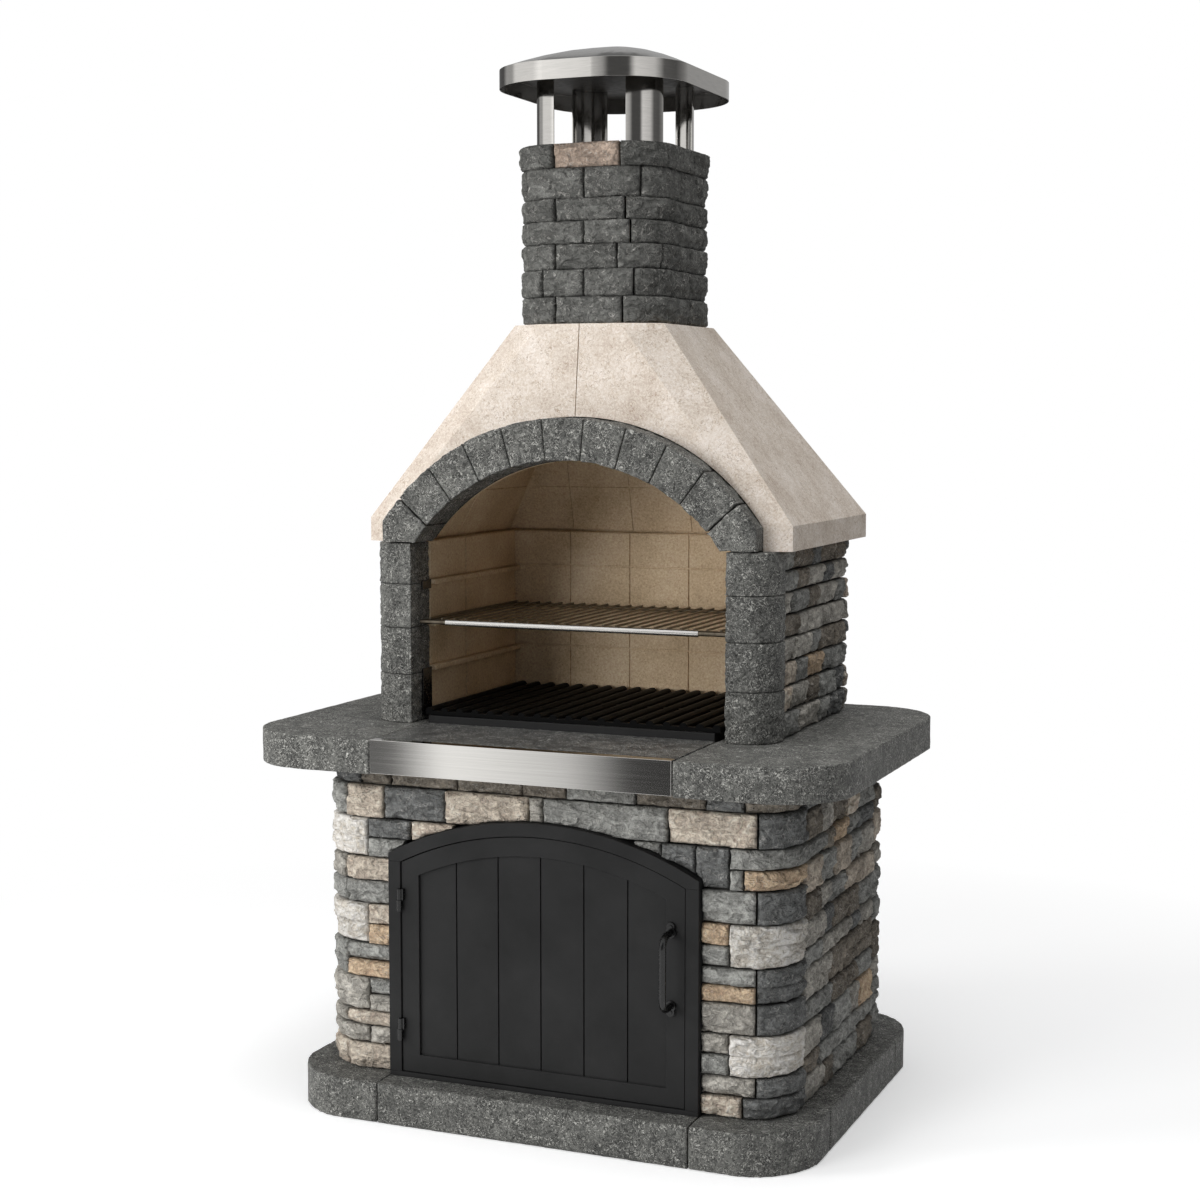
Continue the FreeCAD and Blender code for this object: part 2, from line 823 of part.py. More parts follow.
# Firebox: block pillars, side cores and the fireclay lining with its grate shelves
def make_firebox():
    blocks = []
    low = top_level
    for number, height in enumerate(pillar_blocks, 1):
        plan = rectangle((opening_half, pillar_half), (pillar_front, pillar_back))
        block = pad(f"pillar_block_{number}_right", "XY", [plan], low, low + height - d.bed_joint)
        blocks.append(round_upright(block, [(pillar_half, pillar_front)], d.pillar_radius))
        low = low + height
    keep(group("pillar_right", blocks), "pillar_right")
    left = [mirrored(f"pillar_block_{number}_left", block) for number, block in enumerate(blocks, 1)]
    keep(group("pillar_left", left), "pillar_left")
    upright = (top_level, hood_low)
    core_side = pillar_half - d.firebox_facing
    core_end = firebox_back - d.firebox_facing
    plan = rectangle((opening_half + d.lining, core_side), (pillar_back, core_end))
    core = pad("firebox_core", "XY", [plan], *upright)
    round_upright(core, [(core_side, core_end)], d.firebox_radius - d.firebox_facing)
    pair("firebox_cores", "firebox_core", core)
    face = opening_half
    edge = opening_half - d.shelf_depth
    profile = [(face, top_level), (face + d.lining, top_level), (face + d.lining, hood_low), (face, hood_low)]
    for shelf in (d.shelf_3, d.shelf_2, d.shelf_1):
        level = top_level + shelf
        profile += [(face, level), (edge, level), (edge, level - d.shelf_height)]
        profile += [(face, level - d.shelf_height - d.shelf_depth)]
    lining = pad("lining_right", "XZ", [profile], pillar_back, lining_face)
    keep(lining, "lining_right")
    keep(mirrored("lining_left", lining), "lining_left")
    back_run = (lining_face, lining_face + d.lining - d.facing_gap)
    keep(box("lining_back", both(face + d.lining), back_run, upright), "lining_back")


make_firebox()

firebox_lengths = [70, 104, 56, 88]
firebox_back_lengths = [96, 130, 78, 112]


def make_firebox_facing():
    x = both(pillar_half)
    thick = float(d.firebox_facing) - float(d.facing_gap)
    y = (pillar_front * 2 - firebox_back, firebox_back)
    ring = ring_face(x, y, d.firebox_radius, thick)
    joint = d.stone_joint
    half = float(joint) / 2
    turn_in = float(d.firebox_radius)
    courses = shares(top_level, hood_low, [float(block) for block in pillar_blocks for row in range(2)])
    outer = float(pillar_half) + float(joint)
    inner = float(pillar_half) - turn_in
    run = (float(pillar_back) - half + float(d.bed_joint), float(firebox_back) - turn_in)
    for label, side in (("firebox_facing_left", -1), ("firebox_facing_right", 1)):
        stones = []
        for turn, z in enumerate(courses):
            for y in spans(*run, firebox_lengths, turn + side):
                cell = plan_cell(ring, sorted((side * inner, side * outer)), y, joint)
                stones += raise_stone(cell, z, joint)
        feature(label, Part.makeCompound(stones))
    stones = []
    y = (float(firebox_back) - turn_in, float(firebox_back) + float(joint))
    for turn, z in enumerate(courses):
        corner = inner - turn_in * (turn % 2)
        runs = [(-outer, -corner), *spans(-corner, corner, firebox_back_lengths, turn), (corner, outer)]
        for x in runs:
            stones += raise_stone(plan_cell(ring, x, y, joint), z, joint)
    feature("firebox_facing_back", Part.makeCompound(stones))


make_firebox_facing()


# Fire tray and cast fire grate
def make_fire_grate():
    half = apron_half - d.tray_side_gap
    run = (tray_front, tray_back)
    ledge = d.tray_ledge
    wall = d.tray_wall
    outer = rectangle(both(half), run)
    ledge_hole = rectangle(both(half - ledge), (run[0] + ledge, run[1] - ledge))
    wall_hole = rectangle(both(half - wall), (run[0] + wall, run[1] - wall))
    top = apron_low + d.tray_height
    tray = pad("fire_tray", "XY", [outer, ledge_hole], apron_low, apron_low + wall)
    pad("fire_tray", "XY", [outer, wall_hole], apron_low + wall, top, tray)
    keep(tray, "fire_tray")
    grate = start_body("fire_grate")
    bar_low = top + d.slide_gap
    shoulder = bar_low + d.fire_bar_height - d.fire_bar_crown
    side = opening_half - d.shelf_depth - d.fire_grate_side_gap
    first = d.fire_bar / 2 - side
    front = tray_front + d.tray_wall
    back = lining_face - d.fire_grate_back_gap
    middle_bar = (front + back - d.fire_cross) / 2
    cross_top = bar_low + d.fire_cross_height
    for name, y in (("front", front), ("middle", middle_bar), ("back", back - d.fire_cross)):
        plan = rectangle(both(side), (y, y + d.fire_cross))
        pad("fire_cross_" + name, "XY", [plan], bar_low, cross_top, grate)
        if name == "front":
            foot = d.fire_bar / 2
            crown = foot - d.fire_bar_crown
            bar = [(first - foot, bar_low), (first + foot, bar_low), (first + foot, shoulder)]
            bar_top = bar_low + d.fire_bar_height
            bar += [(first + crown, bar_top), (first - crown, bar_top), (first - foot, shoulder)]
            pad("fire_bar", "XZ", [bar], front, back, grate)
            doc.recompute()
            row = grate.newObject("PartDesign::LinearPattern", "fire_bars")
            original = grate.Group[-2]
            row.Originals = [original]
            row.Direction = (original.Profile[0], ["H_Axis"])
            bind(row, {"Length": side * 2 - d.fire_bar, "Occurrences": d.fire_bar_count})
            grate.Tip = row
    keep(grate, "fire_grate")


make_fire_grate()


# Cooking grate on the middle shelf, its front sleeve and the plates on the pillars
def make_cooking_grate():
    half = opening_half - d.grate_gap
    front = pillar_front + d.grate_setback
    back = lining_face - d.grate_back_gap
    rod = d.grate_rod
    wire = d.grate_wire
    level = top_level + d.shelf_2 + d.slide_gap + rod
    rail = half - rod
    tie = front + rod + d.sleeve_fit + d.sleeve_wall + d.sleeve_clear + rod
    parts = []
    for name, y in (("front", front), ("tie", tie), ("back", back)):
        parts.append(cylinder_x("grate_rod_" + name, rod, (y, level), both(half)))
    for name, x in (("left", -rail), ("right", rail)):
        parts.append(cylinder_y("grate_rail_" + name, rod, (x, level), (front, back)))
    first = -(rail - d.grate_wire_edge)
    step = -first * 2 / (d.grate_wire_count - 1)
    wire_level = level + rod + wire - d.grate_bite
    for number in range(round(float(d.grate_wire_count))):
        spot = (first + step * number, wire_level)
        parts.append(cylinder_y(f"grate_wire_{number}", wire, spot, (tie - rod, back + rod)))
    keep(fuse("cooking_grate", parts), "cooking_grate")
    bore = rod + d.sleeve_fit
    sleeve_run = both(half - d.sleeve_inset)
    tube = cylinder_x("sleeve_tube", bore + d.sleeve_wall, (front, level), sleeve_run)
    hole = cylinder_x("sleeve_bore", bore, (front, level), sleeve_run)
    keep(cut("grate_sleeve", tube, hole), "grate_sleeve")
    plates = []
    plate_x = (opening_half - d.hook_plate, opening_half)
    plate_y = (pillar_back - d.hook_depth, pillar_back)
    for name, low, height in (("low", d.hook_low, d.hook_height), ("high", d.hook_top, d.hook_top_height)):
        plate = box("hook_plate_" + name, plate_x, plate_y, (top_level + low, top_level + low + height))
        plates += [plate, mirrored(f"hook_plate_{name}_left", plate)]
    keep(group("hook_plates", plates), "hook_plates")


make_cooking_grate()

# Arch lines
arch_chord = opening_half - d.arch_foot
arch_radius = (arch_chord * arch_chord + d.arch_rise * d.arch_rise) / (d.arch_rise * 2)
arch_half = pillar_half - d.arch_inset
arch_centre = hood_low + d.arch_rise - arch_radius
arch_outer = arch_radius + d.arch_thickness
arch_front = pillar_front - d.arch_proud
arch_run = pillar_back - arch_front


def on_arch(radius, angle):
    # The point of the arch front at an angle from the crown, to the right.
    radius = float(radius)
    across = radius * math.sin(math.radians(angle))
    return Vector(across, float(arch_front), float(arch_centre) + radius * math.cos(math.radians(angle)))


def arch_arc(radius, start, end):
    points = [on_arch(radius, angle) for angle in (start, (start + end) / 2, end)]
    return Part.Arc(*points).toShape()


def line(first, last):
    return Part.LineSegment(first, last).toShape()


# Arch of tapered stones between two springers that stand on the pillars
def make_arch():
    inner, outer = arch_radius, arch_outer
    through = Vector(0, float(arch_run), 0)
    count = round(float(d.voussoir_count))
    rise = float(hood_low - arch_centre)
    foot_angle = math.degrees(math.acos(rise / float(inner)))
    step = 2 * (foot_angle - float(d.springer_angle)) / count
    gap = math.degrees(float(d.arch_joint) / 2 / float(outer))
    stones = []
    for number in range(count):
        start = (number - count / 2) * step + gap
        end = start + step - 2 * gap
        first_side = line(on_arch(inner, start), on_arch(outer, start))
        last_side = line(on_arch(outer, end), on_arch(inner, end))
        ring = Part.Wire([arch_arc(outer, start, end), last_side, arch_arc(inner, end, start), first_side])
        stones.append(Part.Face(ring).extrude(through))
    feature("arch_stones", Part.makeCompound(stones))
    start = count / 2 * step + gap
    shoulder_angle = math.degrees(math.asin(float(arch_half) / float(outer)))
    foot_out = Vector(float(arch_half), float(arch_front), float(hood_low))
    edges = [arch_arc(outer, start, shoulder_angle), line(on_arch(outer, shoulder_angle), foot_out)]
    edges += [line(foot_out, on_arch(inner, foot_angle)), arch_arc(inner, foot_angle, start)]
    edges += [line(on_arch(inner, start), on_arch(outer, start))]
    right = Part.Face(Part.Wire(edges)).extrude(through)
    left = right.mirror(Vector(), Vector(1, 0, 0))
    feature("arch_springers", Part.makeCompound([right, left]))


make_arch()


def solid_between(low_wire, high_wire):
    return Part.makeLoft([low_wire, high_wire], True, True)


# Hood: four cast quarters, open over the arch and up into the flue
def make_hood():
    rim_x = both(pillar_half + d.hood_side)
    rim_y = (pillar_front + d.hood_step, firebox_back + d.hood_back)
    top_x = both(chimney_half)
    top_y = (chimney_front, chimney_back)
    rim_plan = Part.Face(cornered_wire(rim_x, rim_y, d.hood_corner_front, d.hood_corner_side, hood_low))
    rim = rim_plan.extrude(Vector(0, 0, float(d.hood_rim)))
    low_wire = cornered_wire(rim_x, rim_y, d.hood_corner_front, d.hood_corner_side, hood_rim_top)
    high_wire = cornered_wire(top_x, top_y, d.hood_crown_front, d.hood_crown_side, hood_top)
    outside = rim.fuse(solid_between(low_wire, high_wire)).removeSplitter()
    wall = d.chimney_wall + d.liner
    flue_x, flue_y = inset(top_x, top_y, wall)
    base_x = both(opening_half + d.hood_ledge)
    base_y = (pillar_back, lining_face + d.hood_ledge)
    inside = solid_between(
        rounded_wire(base_x, base_y, d.hood_inner_radius, hood_low),
        rounded_wire(flue_x, flue_y, d.chimney_radius - wall, hood_top),
    )
    shell = outside.cut(inside)
    gap = float(d.arch_gap)
    front = float(rim_y[0]) - float(d.arch_thickness)
    deep = float(chimney_middle) - front
    shallow = float(pillar_back) + gap - front
    for radius, half, run in ((float(arch_outer) + gap, float(arch_half) + gap, shallow),
                              (float(arch_radius), float(opening_half), deep)):
        centre = Vector(0, front, float(arch_centre))
        round_cut = Part.makeCylinder(radius, run, centre, Vector(0, 1, 0))
        low = float(hood_low) - gap
        block = Part.makeBox(2 * half, run, radius, Vector(-half, front, low))
        shell = shell.cut(round_cut.common(block))
    seam = float(d.hood_seam) / 2
    reach = float(d.top_width)
    tall = float(hood_top - hood_low)
    middle_y = float(chimney_middle)
    for side, x in (("left", -reach - seam), ("right", seam)):
        for end, y in (("front", middle_y - reach - seam), ("back", middle_y + seam)):
            quarter = Part.makeBox(reach, reach, tall, Vector(x, y, float(hood_low)))
            feature(f"hood_{end}_{side}", shell.common(quarter))


make_hood()

chimney_courses = [
    d.chimney_course_1,
    d.chimney_course_2,
    d.chimney_course_3,
    d.chimney_course_4,
    d.chimney_course_5,
    d.chimney_course_6,
    d.chimney_course_7,
]
chimney_angles = [40, 31, 36, 27, 42, 33, 38, 29]
chimney_start_angles = [254, 272]
turn_angle = 360
chimney_height = sum(chimney_courses[1:], chimney_courses[0])
chimney_top = hood_top + chimney_height


# Chimney: seven courses of stones round a liner
def make_chimney():
    joint = math.degrees(float(d.chimney_joint) / 2 / float(chimney_half))
    reach = float(d.top_width)
    level = float(hood_top)
    stones = []
    for turn, course in enumerate(chimney_courses):
        proud = float(d.chimney_proud) if turn == len(chimney_courses) - 1 else 0.0
        x, y = inset(both(chimney_half), (chimney_front, chimney_back), -proud)
        ring = ring_face(x, y, float(d.chimney_radius) + proud, float(d.chimney_wall) + proud)
        start = chimney_start_angles[turn % 2]
        z = (level, level + float(course))
        for low, high in spans(start, start + turn_angle, chimney_angles, turn):
            corners = [Vector(0, float(chimney_middle), 0)]
            for angle in (low + joint, high - joint):
                way = math.radians(angle)
                corners.append(corners[0] + Vector(reach * math.cos(way), reach * math.sin(way), 0))
            wedge = Part.Face(Part.makePolygon(corners + corners[:1]))
            stones += raise_stone(ring.common(wedge), z, d.bed_joint)
        level = z[1]
    feature("chimney_stones", Part.makeCompound(stones))
    wall = d.chimney_wall + d.facing_gap
    x, y = inset(both(chimney_half), (chimney_front, chimney_back), wall)
    ring = ring_face(x, y, d.chimney_radius - wall, d.liner - d.facing_gap)
    liner = ring.translated(Vector(0, 0, float(hood_top))).extrude(Vector(0, 0, float(chimney_height)))
    feature("flue_liner", liner)


make_chimney()


dome_width_ratios = [1, 0.86, 0.7, 0.5, 0.3, 0.12]
dome_height_ratios = [0, 0.22, 0.445, 0.68, 0.863, 0.97]


# Steel cap: a domed sheet with a turned-down rim on four curved posts
def make_cap():
    rim_low = chimney_top + d.cap_lift
    rim_top = rim_low + d.cap_rim
    x = both(d.cap_width / 2)
    half_depth = d.cap_depth / 2
    y = (chimney_middle - half_depth, chimney_middle + half_depth)

    def dome(sheet):
        sheet = float(sheet)
        low = float(rim_low) - sheet
        top = float(rim_top) - sheet
        cap_x, cap_y = inset(x, y, sheet)
        radius = float(d.cap_radius) - sheet
        solid = Part.Face(rounded_wire(cap_x, cap_y, radius, low)).extrude(Vector(0, 0, top - low))
        wires = []
        for across, share in zip(dome_width_ratios, dome_height_ratios):
            small_x = [v * across for v in cap_x]
            small_y = [float(chimney_middle) + (v - float(chimney_middle)) * across for v in cap_y]
            wires.append(rounded_wire(small_x, small_y, radius * across, top + float(d.cap_dome) * share))
        return solid.fuse(Part.makeLoft(wires, True, True)).removeSplitter()

    feature("cap_roof", dome(0).cut(dome(d.cap_sheet)))
    gap = d.cap_sheet + d.facing_gap
    plate_x, plate_y = inset(x, y, gap)
    plate_low = float(rim_top) - float(d.cap_sheet) - float(d.cap_plate)
    plate = Part.Face(rounded_wire(plate_x, plate_y, d.cap_radius - gap, plate_low))
    feature("cap_plate", plate.extrude(Vector(0, 0, float(d.cap_plate))))
    outer = float(d.post_radius + d.post_sheet)
    height = plate_low - float(chimney_top)
    across = float(chimney_half - d.chimney_radius + d.post_outset)
    along = float(d.chimney_depth / 2 - d.chimney_radius - d.post_inset)
    posts = []
    sweep = turn_angle / 4
    for quarter, (side, end) in enumerate(((1, 1), (-1, 1), (-1, -1), (1, -1))):
        centre = Vector(side * across, float(chimney_middle) + end * along, float(chimney_top))
        tube = Part.makeCylinder(outer, height, centre, Vector(0, 0, 1), sweep)
        bore = Part.makeCylinder(float(d.post_radius), height, centre, Vector(0, 0, 1))
        tube.rotate(centre, Vector(0, 0, 1), sweep * quarter)
        posts.append(tube.cut(bore))
    feature("cap_posts", Part.makeCompound(posts))


make_cap()

# Door lines
inner_half = frame_half - d.frame_band
inner_radius = frame_radius - d.frame_band
inner_spring = frame_centre + root(inner_radius * inner_radius - inner_half * inner_half)
sill_top = d.plinth_height + d.sill
leaf_half = inner_half - d.leaf_gap
leaf_radius = inner_radius - d.leaf_gap
leaf_low = sill_top + d.leaf_gap
leaf_front = frame_front + d.leaf_setback
leaf_back = leaf_front + d.leaf_plate
hinge_levels = [d.plinth_height + d.hinge_low, frame_spring - d.hinge_drop]
window_half = leaf_half - d.stile
plank_half = window_half + d.plank_lap


def arched(name, x, y, low, radius):
    # A slab between two uprights with its top on a round arch of the door.
    block = box(name + "_block", x, y, (low, frame_crown))
    return common(name, block, cylinder_y(name + "_arch", radius, (zero, frame_centre), y))


# Door frame: two jambs, a sill and an arched head
def make_door_frame():
    run = (frame_front, frame_back)
    jamb = box("door_jamb", (inner_half, frame_half), run, (sill_top, inner_spring))
    pair("door_jambs", "door_jamb", jamb)
    keep(box("door_sill", both(frame_half), run, (d.plinth_height, sill_top)), "door_sill")
    outside = arched("door_head_outside", both(frame_half), run, inner_spring, frame_radius)
    inside = cylinder_y("door_head_inside", inner_radius, (zero, frame_centre), run)
    keep(cut("door_head", outside, inside), "door_head")
    catch_x = (plank_half + d.catch_side, inner_half)
    catch_y = (leaf_back + d.catch_gap, leaf_back + d.catch_gap + d.catch_depth)
    middle_level = (hinge_levels[0] + hinge_levels[1]) / 2
    catch_z = (middle_level - d.catch_height / 2, middle_level + d.catch_height / 2)
    keep(box("door_catch", catch_x, catch_y, catch_z), "door_catch")


# Door leaf: a plate with a window, planks behind it and two braces
def make_door_leaf():
    run = (leaf_front, leaf_back)
    plate = arched("leaf_plate", both(leaf_half), run, leaf_low, leaf_radius)
    window_low = leaf_low + d.bottom_rail
    window = arched("leaf_window", both(window_half), run, window_low, leaf_radius - d.stile)
    keep(cut("door_leaf", plate, window), "door_leaf")
    plank_radius = leaf_radius - d.stile + d.plank_lap
    plank_run = (leaf_back, leaf_back + d.plank)
    count = round(float(d.plank_count))
    step = plank_half * 2 / d.plank_count
    planks = []
    for number in range(count):
        left = -plank_half + step * number
        x = (left + d.plank_gap / 2, left + step - d.plank_gap / 2)
        planks.append(arched(f"plank_{number + 1}", x, plank_run, window_low - d.plank_lap, plank_radius))
    keep(group("door_planks", planks), "door_planks")
    brace_run = (plank_run[1], plank_run[1] + d.brace)
    braces = []
    for name, level in zip(("low", "high"), hinge_levels):
        brace_z = (level - d.brace_height / 2, level + d.brace_height / 2)
        braces.append(box("brace_" + name, both(plank_half - d.plank_gap), brace_run, brace_z))
    keep(group("door_braces", braces), "door_braces")


# Two barrel hinges on the left: lower barrels on the frame, upper barrels on the leaf
def make_hinges():
    axis_x = -(inner_half - d.leaf_gap / 2)
    axis_y = frame_front - d.hinge_radius - d.hinge_gap
    half = d.hinge_length / 2
    split = d.hinge_gap / 2
    frame_lug = (axis_x - d.leaf_gap - d.hinge_lug, axis_x - d.leaf_gap)
    leaf_lug = (axis_x + d.leaf_gap, axis_x + d.leaf_gap + d.hinge_lug)
    kinds = {"frame": [], "leaf": []}
    pins = []
    for name, level in zip(("low", "high"), hinge_levels):
        for kind, z, lug, end in (
            ("frame", (level - half, level - split), frame_lug, frame_front),
            ("leaf", (level + split, level + half), leaf_lug, leaf_front),
        ):
            label = f"hinge_{kind}_{name}"
            barrel = cylinder_z(label + "_barrel", d.hinge_radius, (axis_x, axis_y), z)
            reach = box(label + "_lug", lug, (axis_y, end), z)
            bore = cylinder_z(label + "_bore", d.pin_radius + d.pin_fit, (axis_x, axis_y), z)
            kinds[kind].append(cut(label, fuse(label + "_body", [barrel, reach]), bore))
        pin_z = (level - half, level + half)
        pins.append(cylinder_z("hinge_pin_" + name, d.pin_radius, (axis_x, axis_y), pin_z))
    keep(group("hinge_frame_barrels", kinds["frame"]), "hinge_frame_barrels")
    keep(group("hinge_leaf_barrels", kinds["leaf"]), "hinge_leaf_barrels")
    keep(group("hinge_pins", pins), "hinge_pins")


# Bow handle on the right stile with a screw beyond each end
def make_handle():
    x = leaf_half - d.handle_inset
    centre = frame_spring - d.handle_drop
    low = centre - d.handle_length / 2
    high = centre + d.handle_length / 2
    grip = leaf_front - d.handle_reach
    bend = d.handle_bend
    handle = start_body("door_handle")
    path = sketch_on(handle, "handle_path", "YZ", x)
    stops = [(leaf_front, low), (grip + bend, low), (grip, low + bend)]
    stops += [(grip, high - bend), (grip + bend, high), (leaf_front, high)]
    spots = [Vector(float(u), float(v), 0) for u, v in stops]
    slant = float(bend) * (1 - math.sqrt(0.5))
    bends = {
        1: Vector(float(grip) + slant, float(low) + slant, 0),
        3: Vector(float(grip) + slant, float(high) - slant, 0),
    }
    for index in range(5):
        if index in bends:
            path.addGeometry(Part.Arc(spots[index + 1], bends[index], spots[index]), False)
        else:
            path.addGeometry(Part.LineSegment(spots[index], spots[index + 1]), False)
    fix_point(path, 0, 1, stops[0])
    fix_point(path, 0, 2, stops[1])
    fix_point(path, 2, 1, stops[2])
    fix_point(path, 2, 2, stops[3])
    fix_point(path, 4, 1, stops[4])
    fix_point(path, 4, 2, stops[5])
    for arc, before, after in ((1, 0, 2), (3, 2, 4)):
        path.addConstraint(Sketcher.Constraint("Coincident", arc, 2, before, 2))
        path.addConstraint(Sketcher.Constraint("Coincident", arc, 1, after, 1))
        index = path.addConstraint(Sketcher.Constraint("Radius", arc, float(bend)))
        path.renameConstraint(index, f"bend_{arc}")
        bind(path, {f"Constraints.bend_{arc}": bend})
    profile = sketch_on(handle, "handle_section", "XZ", -leaf_front)
    add_circle(profile, (x, low), d.handle_radius)
    doc.recompute()
    bow = handle.newObject("PartDesign::AdditivePipe", "handle_bow")
    bow.Profile = profile
    bow.Spine = (path, [f"Edge{number}" for number in range(1, 6)])
    face = leaf_front - d.rosette
    screws = []
    for name, level, away in (("low", low, -d.screw_step), ("high", high, d.screw_step)):
        plates = (("rosette", level, d.rosette_radius), ("pad", level + away, d.screw_pad_radius))
        for part, spot, radius in plates:
            sketch, plate = grow(handle, f"handle_{part}_{name}", "XZ", face, leaf_front)
            add_circle(sketch, (x, spot), radius)
        head = (face - d.screw_head, face)
        screws.append(cylinder_y("handle_screw_" + name, d.screw_radius, (x, level + away), head))
    keep(handle, "door_handle")
    keep(group("handle_screws", screws), "handle_screws")


make_door_frame()
make_door_leaf()
make_hinges()
make_handle()

doc.recompute()
faults = [item.Label for item in doc.Objects if "Invalid" in item.State or "Error" in item.State]
faults += [item.Label for item in nodes if item.Shape.isNull() or not item.Shape.isValid()]
if faults:
    raise RuntimeError("not built: " + ", ".join(faults))
os.makedirs("parts", exist_ok=True)
for item in nodes:
    item.Shape.exportStep(f"parts/{item.Label}.step")
    size = item.Shape.BoundBox
    corners = (size.XMin, size.XMax, size.YMin, size.YMax, size.ZMin, size.ZMax)
    print(item.Label, len(item.Shape.Solids), "solids", [round(value, 1) for value in corners])
print(len(nodes), "pieces written")
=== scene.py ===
import itertools
import json
import math
import random

import bmesh
import bpy
import numpy as np
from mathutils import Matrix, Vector


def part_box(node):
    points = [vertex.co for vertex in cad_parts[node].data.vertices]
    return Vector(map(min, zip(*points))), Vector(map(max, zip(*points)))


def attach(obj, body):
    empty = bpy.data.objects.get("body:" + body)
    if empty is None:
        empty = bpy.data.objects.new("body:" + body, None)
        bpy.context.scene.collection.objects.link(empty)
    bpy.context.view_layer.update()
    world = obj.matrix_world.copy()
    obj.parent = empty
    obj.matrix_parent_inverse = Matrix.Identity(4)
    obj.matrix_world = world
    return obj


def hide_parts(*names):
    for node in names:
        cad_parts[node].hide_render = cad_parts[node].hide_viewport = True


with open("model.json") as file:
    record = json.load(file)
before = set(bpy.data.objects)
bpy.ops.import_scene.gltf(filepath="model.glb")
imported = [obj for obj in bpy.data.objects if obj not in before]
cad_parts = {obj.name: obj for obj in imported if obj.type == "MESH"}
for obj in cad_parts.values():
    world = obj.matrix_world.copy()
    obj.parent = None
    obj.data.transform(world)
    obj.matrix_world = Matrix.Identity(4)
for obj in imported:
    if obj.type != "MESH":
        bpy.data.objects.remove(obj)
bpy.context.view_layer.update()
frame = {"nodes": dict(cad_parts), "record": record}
nodes = frame["nodes"]
bodyOf = {name: body for body, group in frame["record"]["behaviour"]["bodies"].items() for name in group}
mm = 0.001
print("frame loaded:", len(nodes), "CAD nodes")


# noise, the same on every run
stir = {
    "cell": (73856093, 19349663, 83492791), "seed": 40503, "rounds": ((13, 1274126177), (11, 668265263)),
    "keep": 0x7FFFFFFF, "drop": 7, "span": 0xFFFF,
}
facet = {"flat": (1.0, 1.0, 1.6), "margin": 0.1, "spread": 0.8, "sharp": 20, "tilt": 0.9}


def lots(cell, seed):
    # a number from 0 to 1 for each lattice cell
    x, y, z = [cell[:, axis] * factor for axis, factor in enumerate(stir["cell"])]
    mixed = x ^ y ^ z ^ seed * stir["seed"]
    for shift, factor in stir["rounds"]:
        mixed = ((mixed ^ (mixed >> shift)) * factor) & stir["keep"]
    return ((mixed >> stir["drop"]) & stir["span"]) / stir["span"]


def smoothNoise(points, size, seed):
    # soft lumps from -1 to 1
    spot = points / size
    base = np.floor(spot).astype(np.int64)
    part = spot - base
    part = part * part * (3 - 2 * part)
    total = np.zeros(len(points))
    for corner in itertools.product((0, 1), repeat=3):
        weight = np.prod(np.where(np.array(corner) == 1, part, 1 - part), axis=1)
        total += weight * (lots(base + np.array(corner), seed) * 2 - 1)
    return total


def chipped(points, size, seed):
    # facets of broken stone from 0 to 1, flat-lying: every cell has its own level and tilt
    spot = points / size * np.array(facet["flat"])
    base = np.floor(spot).astype(np.int64)
    total = np.zeros(len(points))
    weights = np.zeros(len(points))
    for step in itertools.product((-1, 0, 1), repeat=3):
        cell = base + np.array(step)
        draws = [lots(cell, seed * 10 + number) for number in range(7)]
        gap = spot - cell - facet["margin"] - facet["spread"] * np.stack(draws[:3], 1)
        weight = np.exp(-facet["sharp"] * (gap ** 2).sum(1))
        tilt = np.stack(draws[3:6], 1) * 2 - 1
        total += weight * (draws[6] + facet["tilt"] * (gap * tilt).sum(1))
        weights += weight
    return np.clip(total / weights, 0, 1)


# pieces
edges = {"weld": 1e-5, "flat": 0.01, "bevelFrom": 35, "least": 1e-12}


def place(name, data):
    piece = bpy.data.objects.new(name, data)
    bpy.context.scene.collection.objects.link(piece)
    return piece


def coat(mesh, material):
    mesh.materials.clear()
    mesh.materials.append(material)


def dress(piece, name, material):
    # puts a piece in the place of a CAD node, on the same body, with the given material
    coat(piece.data, material)
    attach(piece, bodyOf[name])
    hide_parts(name)
    return piece


def keepNode(name, material):
    coat(nodes[name].data, material)


def shade(mesh, angle=None):
    mesh.polygons.foreach_set("use_smooth", [True] * len(mesh.polygons))
    if angle:
        mesh.set_sharp_from_angle(angle=math.radians(angle))
    mesh.update()


def welded(name):
    bm = bmesh.new()
    bm.from_mesh(nodes[name].data)
    bmesh.ops.remove_doubles(bm, verts=bm.verts, dist=edges["weld"])
    return bm


def islands(name):
    # the separate solids of a CAD node, each as an array of points and a list of faces
    bm = welded(name)
    bm.verts.index_update()
    group = [-1] * len(bm.verts)
    count = 0
    for start in bm.verts:
        if group[start.index] >= 0:
            continue
        group[start.index] = count
        todo = [start]
        while todo:
            for edge in todo.pop().link_edges:
                for vert in edge.verts:
                    if group[vert.index] < 0:
                        group[vert.index] = count
                        todo.append(vert)
        count += 1
    found = [([], [], {}) for _ in range(count)]
    for vert in bm.verts:
        points, faces, index = found[group[vert.index]]
        index[vert.index] = len(points)
        points.append(vert.co[:])
    for face in bm.faces:
        points, faces, index = found[group[face.verts[0].index]]
        faces.append([index[vert.index] for vert in face.verts])
    bm.free()
    return [(np.array(points), faces) for points, faces, index in found]


def changed(mesh, kind, **settings):
    # the mesh after one modifier
    holder = place("holder", mesh)
    modifier = holder.modifiers.new("change", kind)
    for key, value in settings.items():
        setattr(modifier, key, value)
    graph = bpy.context.evaluated_depsgraph_get()
    made = bpy.data.meshes.new_from_object(holder.evaluated_get(graph))
    bpy.data.objects.remove(holder)
    return made


